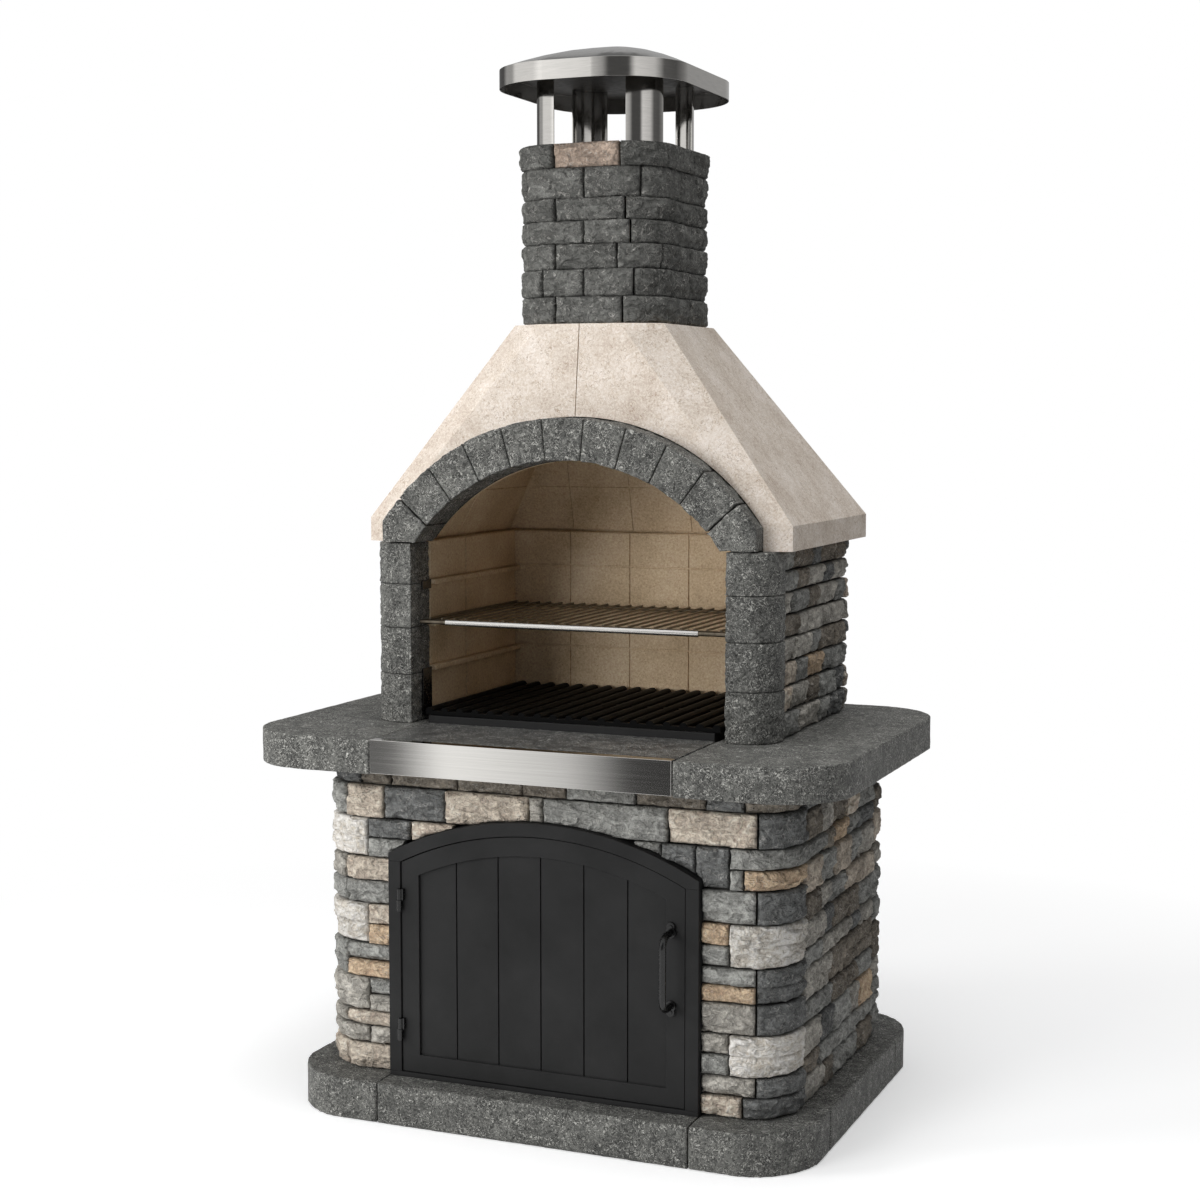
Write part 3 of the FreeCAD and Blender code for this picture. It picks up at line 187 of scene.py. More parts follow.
def eased(bm, name, width, segments=2):
    # a piece with its sharp edges rounded off; the larger faces keep their own shading up to the edge
    bmesh.ops.dissolve_limit(bm, angle_limit=edges["flat"], verts=bm.verts, edges=bm.edges)
    mesh = bpy.data.meshes.new(name)
    bm.to_mesh(mesh)
    bm.free()
    shade(mesh)
    made = changed(mesh, "BEVEL", width=width, segments=segments, limit_method="ANGLE",
                   angle_limit=math.radians(edges["bevelFrom"]))
    made.name = name
    shade(made)
    weighted = np.zeros((len(made.vertices), 3))
    for face in made.polygons:
        weighted[list(face.vertices)] += np.array(face.normal) * face.area
    weighted /= np.linalg.norm(weighted, axis=1, keepdims=True) + edges["least"]
    made.normals_split_custom_set_from_vertices(weighted.tolist())
    return place(name, made)


def softened(name, material, width, segments=2):
    # a copy of a CAD node with its sharp edges eased
    return dress(eased(welded(name), name + "_eased", width, segments), name, material)


def addBox(bm, low, high):
    made = bmesh.ops.create_cube(bm, size=1.0)
    for vert in made["verts"]:
        vert.co = [low[axis] + (high[axis] - low[axis]) * (vert.co[axis] + 0.5) for axis in range(3)]


# materials
def newMaterial(name):
    material = bpy.data.materials.new(name)
    material.use_nodes = True
    tree = material.node_tree
    return material, tree, tree.nodes["Principled BSDF"]


def feed(tree, socket, value):
    # a socket takes another node's output or a plain value
    if isinstance(value, bpy.types.NodeSocket):
        tree.links.new(value, socket)
    else:
        socket.default_value = value


def node(tree, kind, inputs=None, **settings):
    made = tree.nodes.new("ShaderNode" + kind)
    for key, value in settings.items():
        setattr(made, key, value)
    for key, value in (inputs or {}).items():
        feed(tree, made.inputs[key], value)
    return made


def colour(*srgb):
    # screen colour, 0 to 255, as Blender's linear one
    values = [channel / 255 for channel in srgb]
    linear = [value / 12.92 if value <= 0.04045 else ((value + 0.055) / 1.055) ** 2.4 for value in values]
    return (*linear, 1.0)


def spots(tree):
    return node(tree, "TexCoord").outputs["Object"]


def noiseOf(tree, vector, scale, detail=4.0, roughness=0.55, distortion=0.0):
    inputs = {"Vector": vector, "Scale": scale, "Detail": detail, "Roughness": roughness}
    return node(tree, "TexNoise", {**inputs, "Distortion": distortion}).outputs["Fac"]


def cellsOf(tree, vector, scale):
    return node(tree, "TexVoronoi", {"Vector": vector, "Scale": scale}).outputs["Distance"]


def ramp(tree, value, stops):
    made = node(tree, "ValToRGB", {"Fac": value})
    steps = made.color_ramp.elements
    while len(steps) < len(stops):
        steps.new(0.5)
    for step, (position, tone) in zip(steps, stops):
        step.position = position
        step.color = tone if isinstance(tone, tuple) else (tone, tone, tone, 1.0)
    return made.outputs["Color"]


def blend(tree, share, first, second, kind="MIX"):
    made = node(tree, "Mix", data_type="RGBA", blend_type=kind)
    for index, value in ((0, share), (6, first), (7, second)):  # the colour sockets of a Mix node
        feed(tree, made.inputs[index], value)
    return made.outputs[2]


def both(tree, first, second):
    return blend(tree, 1.0, first, second, "MULTIPLY")


def finish(tree, shader, base, roughness, specular, height, strength, distance):
    feed(tree, shader.inputs["Base Color"], base)
    feed(tree, shader.inputs["Roughness"], roughness)
    shader.inputs["Specular IOR Level"].default_value = specular
    bump = node(tree, "Bump", {"Height": height, "Strength": strength, "Distance": distance})
    tree.links.new(bump.outputs["Normal"], shader.inputs["Normal"])


worm = {"curl": 1.6, "patchScale": 0.4, "patchEdge": [(0.36, 0.25), (0.54, 1.0)]}


def wormsOf(tree, vector, scale, width, share):
    # thin curled lines, broken up in patches
    waves = noiseOf(tree, vector, scale, detail=1.5, roughness=0.5, distortion=worm["curl"])
    lines = ramp(tree, waves, [(0.5 - width, 0.0), (0.5, share), (0.5 + width, 0.0)])
    patches = noiseOf(tree, vector, scale * worm["patchScale"], detail=1)
    return both(tree, lines, ramp(tree, patches, worm["patchEdge"]))


# in these dictionaries a whole number is a pattern's scale, and pairs are the stops of a ramp
toneStops = (0.3, 0.5, 0.7)
castMix = {
    "cloud": 24, "grain": 210, "grainShare": 0.8, "grainTones": [(0.36, 0.06), (0.5, 0.46), (0.64, 0.84)],
    "worms": 100, "wormWidth": 0.036, "wormShare": 0.8, "wormHeight": 0.55,
    "chips": 260, "chipEdge": [(0.14, 1.0), (0.24, 0.0)],
    "patches": 75, "patchEdge": [(0.5, 0.0), (0.64, 0.9)], "bump": 2.2 * mm,
}


def castStone(name, tones, fleck, roughness, specular, relief):
    # cast stone: cloudy ground, pores, and pale curled flecks of crushed rock
    mix = castMix
    material, tree, shader = newMaterial(name)
    vector = spots(tree)
    cloud = noiseOf(tree, vector, mix["cloud"], detail=6, roughness=0.65)
    ground = ramp(tree, cloud, list(zip(toneStops, tones)))
    grain = noiseOf(tree, vector, mix["grain"], detail=3, roughness=0.6, distortion=0.8)
    grained = blend(tree, mix["grainShare"], ground, ramp(tree, grain, mix["grainTones"]), "OVERLAY")
    worms = wormsOf(tree, vector, mix["worms"], mix["wormWidth"], mix["wormShare"])
    wormed = blend(tree, worms, grained, fleck)
    chips = ramp(tree, cellsOf(tree, vector, mix["chips"]), mix["chipEdge"])
    chipPatches = ramp(tree, noiseOf(tree, vector, mix["patches"], detail=2), mix["patchEdge"])
    flecked = blend(tree, both(tree, chips, chipPatches), wormed, fleck)
    height = blend(tree, mix["wormHeight"], grain, worms)
    finish(tree, shader, flecked, roughness, specular, height, relief, mix["bump"])
    return material


facingMix = {
    "flat": (1.0, 1.0, 1.7), "steps": 36,
    "stepEdges": [(0.34, 0.0), (0.39, 0.06), (0.42, 0.32), (0.47, 0.38),
                  (0.5, 0.64), (0.55, 0.7), (0.58, 0.94), (0.64, 1.0)],
    # the step tones are painted shade on the lower split terraces and painted light on the higher ones
    "stepShadeShare": 0.55, "stepShadeTones": [(0.0, 0.3), (0.5, 0.52), (1.0, 0.72)], "stepHeight": 0.35,
    "cloud": 26, "cloudShare": 0.7, "cloudTones": [(0.3, 0.36), (0.5, 0.5), (0.7, 0.62)],
    "grain": 190, "grainShare": 0.48, "grainTones": [(0.34, 0.18), (0.5, 0.5), (0.66, 0.8)],
    "worms": 60, "wormWidth": 0.03, "wormShare": 1.0, "wormTone": colour(240, 236, 229), "wormPale": 0.34,
    # painted shade: the stone darkens towards the joint colour as its face and sides sink back into the joints
    "joint": colour(38, 36, 33), "sunkShadeEdge": [(0.35, 0.0), (0.95, 0.85)],
    "roughness": 0.92, "specular": 0.1, "relief": 1.0, "bump": 9 * mm,
}


def tintedStone(name):
    # rock-faced stone: each stone's own tint, split ledges, pale curled lines; painted light and shade by the
    # height of the split terraces, and painted shade where the stone sinks back into the joints
    mix = facingMix
    material, tree, shader = newMaterial(name)
    vector = spots(tree)
    tint = node(tree, "Attribute", attribute_name="tint").outputs["Color"]
    sunk = node(tree, "Attribute", attribute_name="sunk").outputs["Fac"]
    flat = node(tree, "Mapping", {"Vector": vector, "Scale": mix["flat"]}).outputs["Vector"]
    layers = noiseOf(tree, flat, mix["steps"], detail=2.5, roughness=0.5, distortion=0.9)
    steps = ramp(tree, layers, mix["stepEdges"])
    cloud = ramp(tree, noiseOf(tree, vector, mix["cloud"], detail=6, roughness=0.65), mix["cloudTones"])
    clouded = blend(tree, mix["cloudShare"], tint, cloud, "OVERLAY")
    grain = noiseOf(tree, vector, mix["grain"], detail=3, roughness=0.6, distortion=0.8)
    grained = blend(tree, mix["grainShare"], clouded, ramp(tree, grain, mix["grainTones"]), "OVERLAY")
    worms = wormsOf(tree, vector, mix["worms"], mix["wormWidth"], mix["wormShare"])
    lined = blend(tree, worms, grained, blend(tree, mix["wormPale"], tint, mix["wormTone"]))
    # painted light and shade: the lower terraces of the split face are darker, the higher ones lighter
    stepShaded = blend(tree, mix["stepShadeShare"], lined, ramp(tree, steps, mix["stepShadeTones"]), "OVERLAY")
    # painted shade: the deeper parts of each stone, its sides most of all, are darkened towards the joint colour
    shadowed = blend(tree, ramp(tree, sunk, mix["sunkShadeEdge"]), stepShaded, mix["joint"])
    height = blend(tree, mix["stepHeight"], steps, blend(tree, 0.5, grain, worms))
    finish(tree, shader, shadowed, mix["roughness"], mix["specular"], height, mix["relief"], mix["bump"])
    return material


paleMix = {
    "sand": 230, "sandShare": 0.45, "sandTones": [(0.34, 0.2), (0.5, 0.5), (0.66, 0.78)],
    "worms": 80, "wormWidth": 0.034, "pits": 170, "pitEdge": [(0.12, 1.0), (0.24, 0.0)],
    "patches": 60, "patchEdge": [(0.52, 0.0), (0.64, 0.8)],
    "roughness": 0.93, "specular": 0.1, "relief": 0.3, "bump": 1.0 * mm,
}


def pittedStone(name, tones, pit, cloud, lines):
    # pale cast stone or clay: soft clouds, sandy grain, fine curled lines and small pits
    mix = paleMix
    material, tree, shader = newMaterial(name)
    vector = spots(tree)
    base = ramp(tree, noiseOf(tree, vector, cloud, detail=6, roughness=0.6), list(zip(toneStops, tones)))
    sand = noiseOf(tree, vector, mix["sand"], detail=4, roughness=0.7, distortion=0.6)
    grained = blend(tree, mix["sandShare"], base, ramp(tree, sand, mix["sandTones"]), "OVERLAY")
    worms = wormsOf(tree, vector, mix["worms"], mix["wormWidth"], lines)
    lined = blend(tree, worms, grained, pit)
    pits = ramp(tree, cellsOf(tree, vector, mix["pits"]), mix["pitEdge"])
    pitPatches = ramp(tree, noiseOf(tree, vector, mix["patches"], detail=2), mix["patchEdge"])
    pitted = blend(tree, both(tree, pits, pitPatches), lined, pit)
    height = blend(tree, 0.5, sand, blend(tree, 0.5, worms, pits, "SUBTRACT"))
    finish(tree, shader, pitted, mix["roughness"], mix["specular"], height, mix["relief"], mix["bump"])
    return material


steelMix = {"stops": (0.3, 0.7), "specular": 0.5, "relief": 0.04, "bump": 0.15 * mm}


def brushedSteel(name, stretch, dull, bright, rough):
    # fine lines drawn out along one direction
    material, tree, shader = newMaterial(name)
    vector = node(tree, "Mapping", {"Vector": spots(tree), "Scale": stretch}).outputs["Vector"]
    lines = noiseOf(tree, vector, 1.0, detail=4, roughness=0.65)
    shader.inputs["Metallic"].default_value = 1.0
    base = ramp(tree, lines, list(zip(steelMix["stops"], (colour(*dull), colour(*bright)))))
    roughness = ramp(tree, lines, list(zip(steelMix["stops"], rough)))
    finish(tree, shader, base, roughness, steelMix["specular"], lines, steelMix["relief"], steelMix["bump"])
    return material


blackMix = {"stops": (0.3, 0.7), "cloud": 6, "shades": (0.8, 1.2), "roughSpread": 0.07, "bump": 0.4 * mm}


def blackMetal(name, tone, rough, specular, grain, relief):
    # iron or paint: a cloudy black with a fine grain
    mix = blackMix
    material, tree, shader = newMaterial(name)
    vector = spots(tree)
    cloud = noiseOf(tree, vector, mix["cloud"], detail=4, roughness=0.6)
    shades = [tuple(channel * share for channel in tone[:3]) + (1.0,) for share in mix["shades"]]
    fine = noiseOf(tree, vector, grain, detail=3, roughness=0.6)
    roughness = ramp(tree, fine, list(zip(mix["stops"], (rough - mix["roughSpread"], rough + mix["roughSpread"]))))
    base = ramp(tree, cloud, list(zip(mix["stops"], shades)))
    finish(tree, shader, base, roughness, specular, fine, relief, mix["bump"])
    return material


castStones = {
    "dark_cast_stone": {
        "tones": (colour(65, 65, 63), colour(84, 84, 81), colour(106, 106, 102)), "fleck": colour(216, 215, 208),
        "roughness": 0.66, "specular": 0.3, "relief": 0.9,
    },
    "polished_stone": {
        "tones": (colour(46, 46, 46), colour(62, 62, 61), colour(80, 80, 78)), "fleck": colour(200, 199, 193),
        "roughness": 0.36, "specular": 0.12, "relief": 0.06,
    },
}
paleStones = {
    "cream_cast_stone": {
        "tones": (colour(196, 183, 170), colour(210, 199, 187), colour(221, 211, 201)),
        "pit": colour(152, 130, 110), "cloud": 14, "lines": 0.7,
    },
    "fireclay": {
        "tones": (colour(184, 162, 132), colour(201, 179, 149), colour(213, 193, 165)),
        "pit": colour(148, 121, 92), "cloud": 8, "lines": 0.15,
    },
    "concrete": {
        "tones": (colour(52, 50, 47), colour(66, 64, 60), colour(82, 79, 74)),
        "pit": colour(40, 38, 35), "cloud": 20, "lines": 0.2,
    },
}
steels = {
    "fascia_steel": {"stretch": (5, 800, 800), "dull": (200, 198, 194), "bright": (212, 210, 206),
                     "rough": (0.07, 0.1)},
    "cap_steel": {"stretch": (30, 30, 420), "dull": (186, 184, 180), "bright": (198, 195, 191),
                  "rough": (0.08, 0.12)},
    "tray_steel": {"stretch": (12, 300, 300), "dull": (158, 156, 152), "bright": (180, 178, 174),
                   "rough": (0.3, 0.4)},
    "grate_steel": {"stretch": (60, 60, 60), "dull": (92, 84, 72), "bright": (138, 129, 115),
                    "rough": (0.28, 0.45)},
    "sleeve_steel": {"stretch": (20, 500, 500), "dull": (196, 194, 190), "bright": (222, 220, 216),
                     "rough": (0.18, 0.28)},
}
blackMetals = {
    "cast_iron": {"tone": colour(10, 10, 10), "rough": 0.55, "specular": 0.1, "grain": 240, "relief": 0.5},
    "tray_iron": {"tone": colour(34, 34, 34), "rough": 0.45, "specular": 0.25, "grain": 300, "relief": 0.2},
    "black_paint": {"tone": colour(40, 40, 40), "rough": 0.55, "specular": 0.12, "grain": 420, "relief": 0.12},
    # a dark metal for the painted shade on the cap's down-facing faces
    "cap_underside_shade": {"tone": colour(44, 42, 40), "rough": 0.6, "specular": 0.2, "grain": 90, "relief": 0.2},
    "handle_gloss": {"tone": colour(12, 12, 12), "rough": 0.24, "specular": 0.5, "grain": 200, "relief": 0.05},
}
darkStone, polished = [castStone(name, **look) for name, look in castStones.items()]
faceStone = tintedStone("facing_stone")
creamStone, clay, mortar = [pittedStone(name, **look) for name, look in paleStones.items()]
fasciaSteel, capSteel, traySteel, wireSteel, sleeveSteel = [
    brushedSteel(name, **look) for name, look in steels.items()]
iron, trayIron, blackPaint, undersideShade, gloss = [blackMetal(name, **look) for name, look in blackMetals.items()]
print("materials made")


# rock-faced stones
class Outline:
    # a rounded rectangle in plan; places on it are measured along its edge from the left end of the front
    hair = 1e-9  # added to a turn, so that straight ahead never counts as a full one

    def __init__(self, low, high, radius):
        self.centre = ((low[0] + high[0]) / 2, (low[1] + high[1]) / 2)
        self.half = ((high[0] - low[0]) / 2 - radius, (high[1] - low[1]) / 2 - radius)
        self.radius = radius
        across, deep = self.half
        turn = radius * math.pi / 2
        self.ends = np.cumsum([0, 2 * across, turn, 2 * deep, turn, 2 * across, turn, 2 * deep, turn])

    def away(self, x, y):
        # how far outside the edge a point lies
        x, y = x - self.centre[0], y - self.centre[1]
        dx = x - np.clip(x, -self.half[0], self.half[0])
        dy = y - np.clip(y, -self.half[1], self.half[1])
        return np.hypot(dx, dy) - self.radius

    def along(self, x, y):
        # the place on the edge nearest to a point
        x, y = x - self.centre[0], y - self.centre[1]
        across, deep = self.half
        nearX, nearY = np.clip(x, -across, across), np.clip(y, -deep, deep)
        turn = np.mod(np.arctan2(x - nearX, nearY - y) + self.hair, 2 * math.pi)
        side = np.floor(turn / (math.pi / 2)).astype(int)
        straight = np.choose(side, [nearX + across, nearY + deep, across - nearX, deep - nearY])
        return self.ends[side * 2] + straight + (turn - side * math.pi / 2) * self.radius

    def at(self, s):
        # points on the edge, and the way that looks outwards there
        s = np.mod(s, self.ends[-1])
        part = np.clip(np.searchsorted(self.ends, s, side="right") - 1, 0, len(self.ends) - 2)
        run = s - self.ends[part]
        side = part // 2
        curved = part % 2 == 1
        turn = side * math.pi / 2 + np.where(curved, run / self.radius, 0)
        across, deep = self.half
        startX = np.choose(side, [-across, across, across, -across])
        startY = np.choose(side, [-deep, -deep, deep, deep])
        cornerX = np.choose(side, [across, across, -across, -across])
        cornerY = np.choose(side, [-deep, deep, deep, -deep])
        outX, outY = np.sin(turn), -np.cos(turn)
        x = np.where(curved, cornerX, startX + np.cos(turn) * run) + outX * self.radius
        y = np.where(curved, cornerY, startY + np.sin(turn) * run) + outY * self.radius
        return x + self.centre[0], y + self.centre[1], outX, outY


# how every stone is cut; what differs from wall to wall is in the looks further on
cut = {
    "fewest": 6, "inset": 1e-5, "onEdge": 0.2 * mm, "upright": 1e-7, "deepest": 0.8, "sharpFrom": 50, "seedStep": 7,
    "grainSize": 4 * mm, "easeWander": 0.5, "easeSize": 15 * mm, "pillowReach": 5,
    "ledgeAt": (0.2, 0.55), "ledgeShares": (0.0, 0.6, 0.8, 1.0), "ledgeFall": 0.8 * mm,
    "ledgeWander": 7 * mm, "ledgeSize": 22 * mm, "ledgeRag": 3 * mm, "ragSize": 8 * mm,
    "grooveWidth": 2.6 * mm, "grooveWander": 3 * mm, "grooveSize": 40 * mm,
}


def stoneDepth(here, edge, seed, look):
    # how far each point of a stone's face lies behind the wall line
    broken = look["chip"] * (1 - chipped(here, look["chipSize"], seed))
    broken += look["fine"] * (1 - chipped(here, look["fineSize"], seed + 1))
    broken += look["grain"] * (1 - smoothNoise(here, cut["grainSize"], seed + 2)) / 2
    broken -= broken.min()
    ease = look["ease"] * (1 + cut["easeWander"] * smoothNoise(here, cut["easeSize"], seed + 3))
    inside = np.clip(edge / ease, 0, 1)
    arris = ease * (1 - np.sqrt(1 - (1 - inside) ** 2))
    pillow = look["pillow"] * (1 - np.clip(edge / (cut["pillowReach"] * look["ease"]), 0, 1)) ** 2
    return broken + arris + pillow


def ledge(here, seed, look):
    # a ragged step: the stone's foot lies further back than its brow
    draw = random.Random(seed)
    low, high = here[:, 2].min(), here[:, 2].max()
    line = low + (high - low) * draw.uniform(*cut["ledgeAt"])
    wander = cut["ledgeWander"] * smoothNoise(here, cut["ledgeSize"], seed)
    line += wander + cut["ledgeRag"] * smoothNoise(here, cut["ragSize"], seed + 1)
    deep = look["ledge"] * draw.choice(cut["ledgeShares"])
    return deep / (1 + np.exp((here[:, 2] - line) / cut["ledgeFall"]))


def facedStone(points, faces, outline, look, seed, doubled):
    # one stone on an outline: a gridded rough face, its sides and its back
    s = outline.along(points[:, 0], points[:, 1])
    outer = np.abs(outline.away(points[:, 0], points[:, 1])) < cut["onEdge"]
    if s[outer].max() - s[outer].min() > outline.ends[-1] / 2:  # a stone across the start of the edge
        s = np.where(s < outline.ends[-1] / 2, s + outline.ends[-1], s)
    uses = {}
    for face in faces:
        if all(outer[index] for index in face):
            for pair in zip(face, face[1:] + face[:1]):
                key = tuple(sorted(pair))
                uses[key] = uses.get(key, 0) + 1
    rim = np.array([key for key, count in uses.items() if count == 1])
    startS, endS = s[rim[:, 0]], s[rim[:, 1]]
    startZ, endZ = points[rim[:, 0], 2], points[rim[:, 1], 2]
    sLow, sHigh = s[outer].min(), s[outer].max()
    tall = points[outer, 2].max() - points[outer, 2].min()
    columns = max(cut["fewest"], round((sHigh - sLow) / look["step"])) + 1
    rows = max(cut["fewest"], round(tall / look["step"])) + 1
    line = np.linspace(sLow + cut["inset"], sHigh - cut["inset"], columns)
    lows, highs = np.zeros(columns), np.zeros(columns)
    for index, here in enumerate(line):
        crossing = (np.minimum(startS, endS) <= here) & (np.maximum(startS, endS) >= here)
        crossing &= np.abs(endS - startS) > cut["upright"]
        share = (here - startS[crossing]) / (endS - startS)[crossing]
        z = startZ[crossing] + share * (endZ - startZ)[crossing]
        lows[index], highs[index] = z.min(), z.max()
    gridS = np.repeat(line[:, None], rows, 1)
    gridZ = lows[:, None] + np.linspace(0, 1, rows)[None, :] * (highs - lows)[:, None]
    sideways = np.minimum(gridS - sLow, sHigh - gridS)
    upright = np.minimum(gridZ - lows[:, None], highs[:, None] - gridZ)
    flatS, flatZ = gridS.ravel(), gridZ.ravel()
    x, y, outX, outY = outline.at(flatS)
    here = np.stack([x, y, flatZ], 1)
    sunk = stoneDepth(here, np.minimum(sideways, upright).ravel(), seed, look)
    if doubled:  # a groove makes one stone look like two
        wander = cut["grooveWander"] * smoothNoise(here, cut["grooveSize"], seed + 5)
        middle = (gridZ.min() + gridZ.max()) / 2 + wander
        sunk += look["groove"] * np.exp(-((flatZ - middle) / cut["grooveWidth"]) ** 2)
    sunk += ledge(here, seed + 6, look)
    sunk = np.clip(sunk, 0, look["thick"] * cut["deepest"])
    face = here - np.stack([outX, outY, np.zeros_like(outX)], 1) * sunk[:, None]
    ring = [i * rows for i in range(columns)]
    ring += [(columns - 1) * rows + j for j in range(1, rows)]
    ring += [i * rows + rows - 1 for i in range(columns - 2, -1, -1)]
    ring += list(range(rows - 2, 0, -1))
    backX, backY, outX, outY = outline.at(flatS[ring])
    back = np.stack([backX - outX * look["thick"], backY - outY * look["thick"], flatZ[ring]], 1)
    polys = []
    for i, j in itertools.product(range(columns - 1), range(rows - 1)):
        polys.append((i * rows + j, (i + 1) * rows + j, (i + 1) * rows + j + 1, i * rows + j + 1))
    total, size = len(face), len(ring)
    for k in range(size):
        following = (k + 1) % size
        polys.append((ring[following], ring[k], total + k, total + following))
    polys.append(tuple(total + k for k in range(size - 1, -1, -1)))
    # the mask of the painted shade in the joints: the face by how far it sinks, the back ring fully dark
    shadow = np.concatenate([np.clip(sunk / look["shadow"], 0, 1), np.ones(size)])
    return np.concatenate([face, back]), polys, shadow


def stoneWall(name, outlines, look, tintOf, seed):
    # all the stones of a facing node in one piece
    verts, polys, tints, shadows = [], [], [], []
    total = 0
    solids = islands(name)
    for number, (points, faces) in enumerate(solids):
        outline = min(outlines, key=lambda path: abs(path.away(points[:, 0], points[:, 1]).max()))
        tint, doubled = tintOf(points)
        stoneSeed = seed + number * cut["seedStep"]
        stone, stonePolys, shadow = facedStone(points, faces, outline, look, stoneSeed, doubled)
        verts.append(stone)
        polys += [tuple(index + total for index in poly) for poly in stonePolys]
        tints.append(np.repeat(np.array(tint)[None, :], len(stone), 0))
        shadows.append(shadow)
        total += len(stone)
    mesh = bpy.data.meshes.new(name + "_stones")
    mesh.from_pydata(np.concatenate(verts).tolist(), [], polys)
    tintOn = mesh.attributes.new("tint", "FLOAT_COLOR", "POINT")
    tintOn.data.foreach_set("color", np.concatenate(tints).ravel())
    sunkOn = mesh.attributes.new("sunk", "FLOAT", "POINT")
    sunkOn.data.foreach_set("value", np.concatenate(shadows))
    shade(mesh, cut["sharpFrom"])
    dress(place(name + "_stones", mesh), name, faceStone)
    print(name, "stones:", len(solids), "faces:", len(polys))


baseWall = {
    "radius": 100 * mm, "thick": 27.5 * mm, "step": 3.4 * mm, "chip": 5.5 * mm, "chipSize": 32 * mm,
    "fine": 1.6 * mm, "fineSize": 13 * mm, "grain": 0.3 * mm, "ease": 3.6 * mm, "pillow": 1.7 * mm,
    "groove": 6 * mm, "ledge": 5.5 * mm, "shadow": 28 * mm, "frontSeed": 1000, "seed": 3000, "tintSeed": 11,
}
fireWall = {**baseWall, "radius": 45 * mm, "thick": 24.5 * mm, "seed": 7000, "tintSeed": 31}
wallSeedStep = 1000
stoneTones = {
    "light": colour(208, 203, 195), "beige": colour(190, 178, 163), "tan": colour(188, 165, 139),
    "mid": colour(164, 160, 152), "grey": colour(141, 141, 137), "dark": colour(105, 106, 105),
    "brown": colour(120, 113, 103),
}
# the front stones by the middle of each, across and up
frontTones = {
    "light": [(433, 197), (433, 402), (-433, 372), (-433, 544)],
    "beige": [(360, 100), (-374, 106), (-460, 106), (-374, 182), (-374, 482), (-346, 392), (-233, 563),
              (-382, 616), (-116, 616), (341, 616)],
    "tan": [(374, 312), (346, 422), (-374, 282), (-346, 352), (447, 525)],
    "mid": [(374, 139), (346, 217), (374, 266), (-346, 149), (-433, 149), (-460, 182), (-346, 214), (-433, 231),
            (-460, 482), (-13, 625)],
    "grey": [(346, 178), (374, 345), (346, 382), (374, 474), (-346, 248), (-374, 315), (-460, 299), (-374, 435),
             (-460, 435), (-333, 525), (387, 525), (213, 570), (433, 563), (-459, 616), (128, 616), (120, 670)],
    "dark": [(447, 100), (460, 139), (460, 266), (460, 328), (460, 474), (-326, 563), (274, 555), (341, 544),
             (-271, 616), (461, 616), (-440, 670), (365, 670)],
    "brown": [(-355, 670), (-250, 670), (-109, 670), (5, 670), (259, 670), (448, 670)],
}
frontSpread = 0.08
doubleStones = [(433, 197), (433, 402), (-433, 372), (-433, 544), (-433, 231), (-460, 299), (460, 328)]


def varied(tone, draw, spread):
    # the tone a little lighter or darker
    shift = 1 + draw.uniform(-spread, spread)
    return tuple(min(1.0, channel * shift) for channel in tone[:3]) + (1.0,)


def frontTint(points):
    x, _, z = (points.min(0) + points.max(0)) / 2 / mm
    reach = {(abs(x - a) + abs(z - b), tone, (a, b)) for tone, group in frontTones.items() for a, b in group}
    _, tone, spot = min(reach)
    return varied(stoneTones[tone], random.Random(str(spot)), frontSpread), spot in doubleStones


sideTones = {
    "shares": {"grey": 5, "mid": 4, "brown": 4, "dark": 2, "beige": 1.5, "tan": 0.5},
    "spread": 0.14, "doubleOver": 58 * mm, "doubleShare": 0.5,
}


def mixedTint(seed):
    # the sides and the back: tones drawn by share
    draw = random.Random(seed)

    def pick(points):
        tone = draw.choices(list(sideTones["shares"]), list(sideTones["shares"].values()))[0]
        tall = points[:, 2].max() - points[:, 2].min()
        tint = varied(stoneTones[tone], draw, sideTones["spread"])
        return tint, tall > sideTones["doubleOver"] and draw.random() < sideTones["doubleShare"]
    return pick


baseLow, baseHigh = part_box("facing_front")[0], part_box("facing_back")[1]
baseOutline = Outline((-baseHigh.x, baseLow.y), (baseHigh.x, baseHigh.y), baseWall["radius"])
stoneWall("facing_front", [baseOutline], baseWall, frontTint, baseWall["frontSeed"])
for turn, name in enumerate(("facing_left", "facing_right", "facing_back")):
    tintOf = mixedTint(baseWall["tintSeed"] + turn)
    stoneWall(name, [baseOutline], baseWall, tintOf, baseWall["seed"] + wallSeedStep * turn)
fireLow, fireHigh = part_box("pillar_right")[0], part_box("firebox_facing_back")[1]
fireFront = 2 * fireLow.y - fireHigh.y  # the outline runs on in front, so its front corners are out of the way
fireOutline = Outline((-fireHigh.x, fireFront), (fireHigh.x, fireHigh.y), fireWall["radius"])
for turn, name in enumerate(("firebox_facing_left", "firebox_facing_right", "firebox_facing_back")):
    tintOf = mixedTint(fireWall["tintSeed"] + turn)
    stoneWall(name, [fireOutline], fireWall, tintOf, fireWall["seed"] + wallSeedStep * turn)

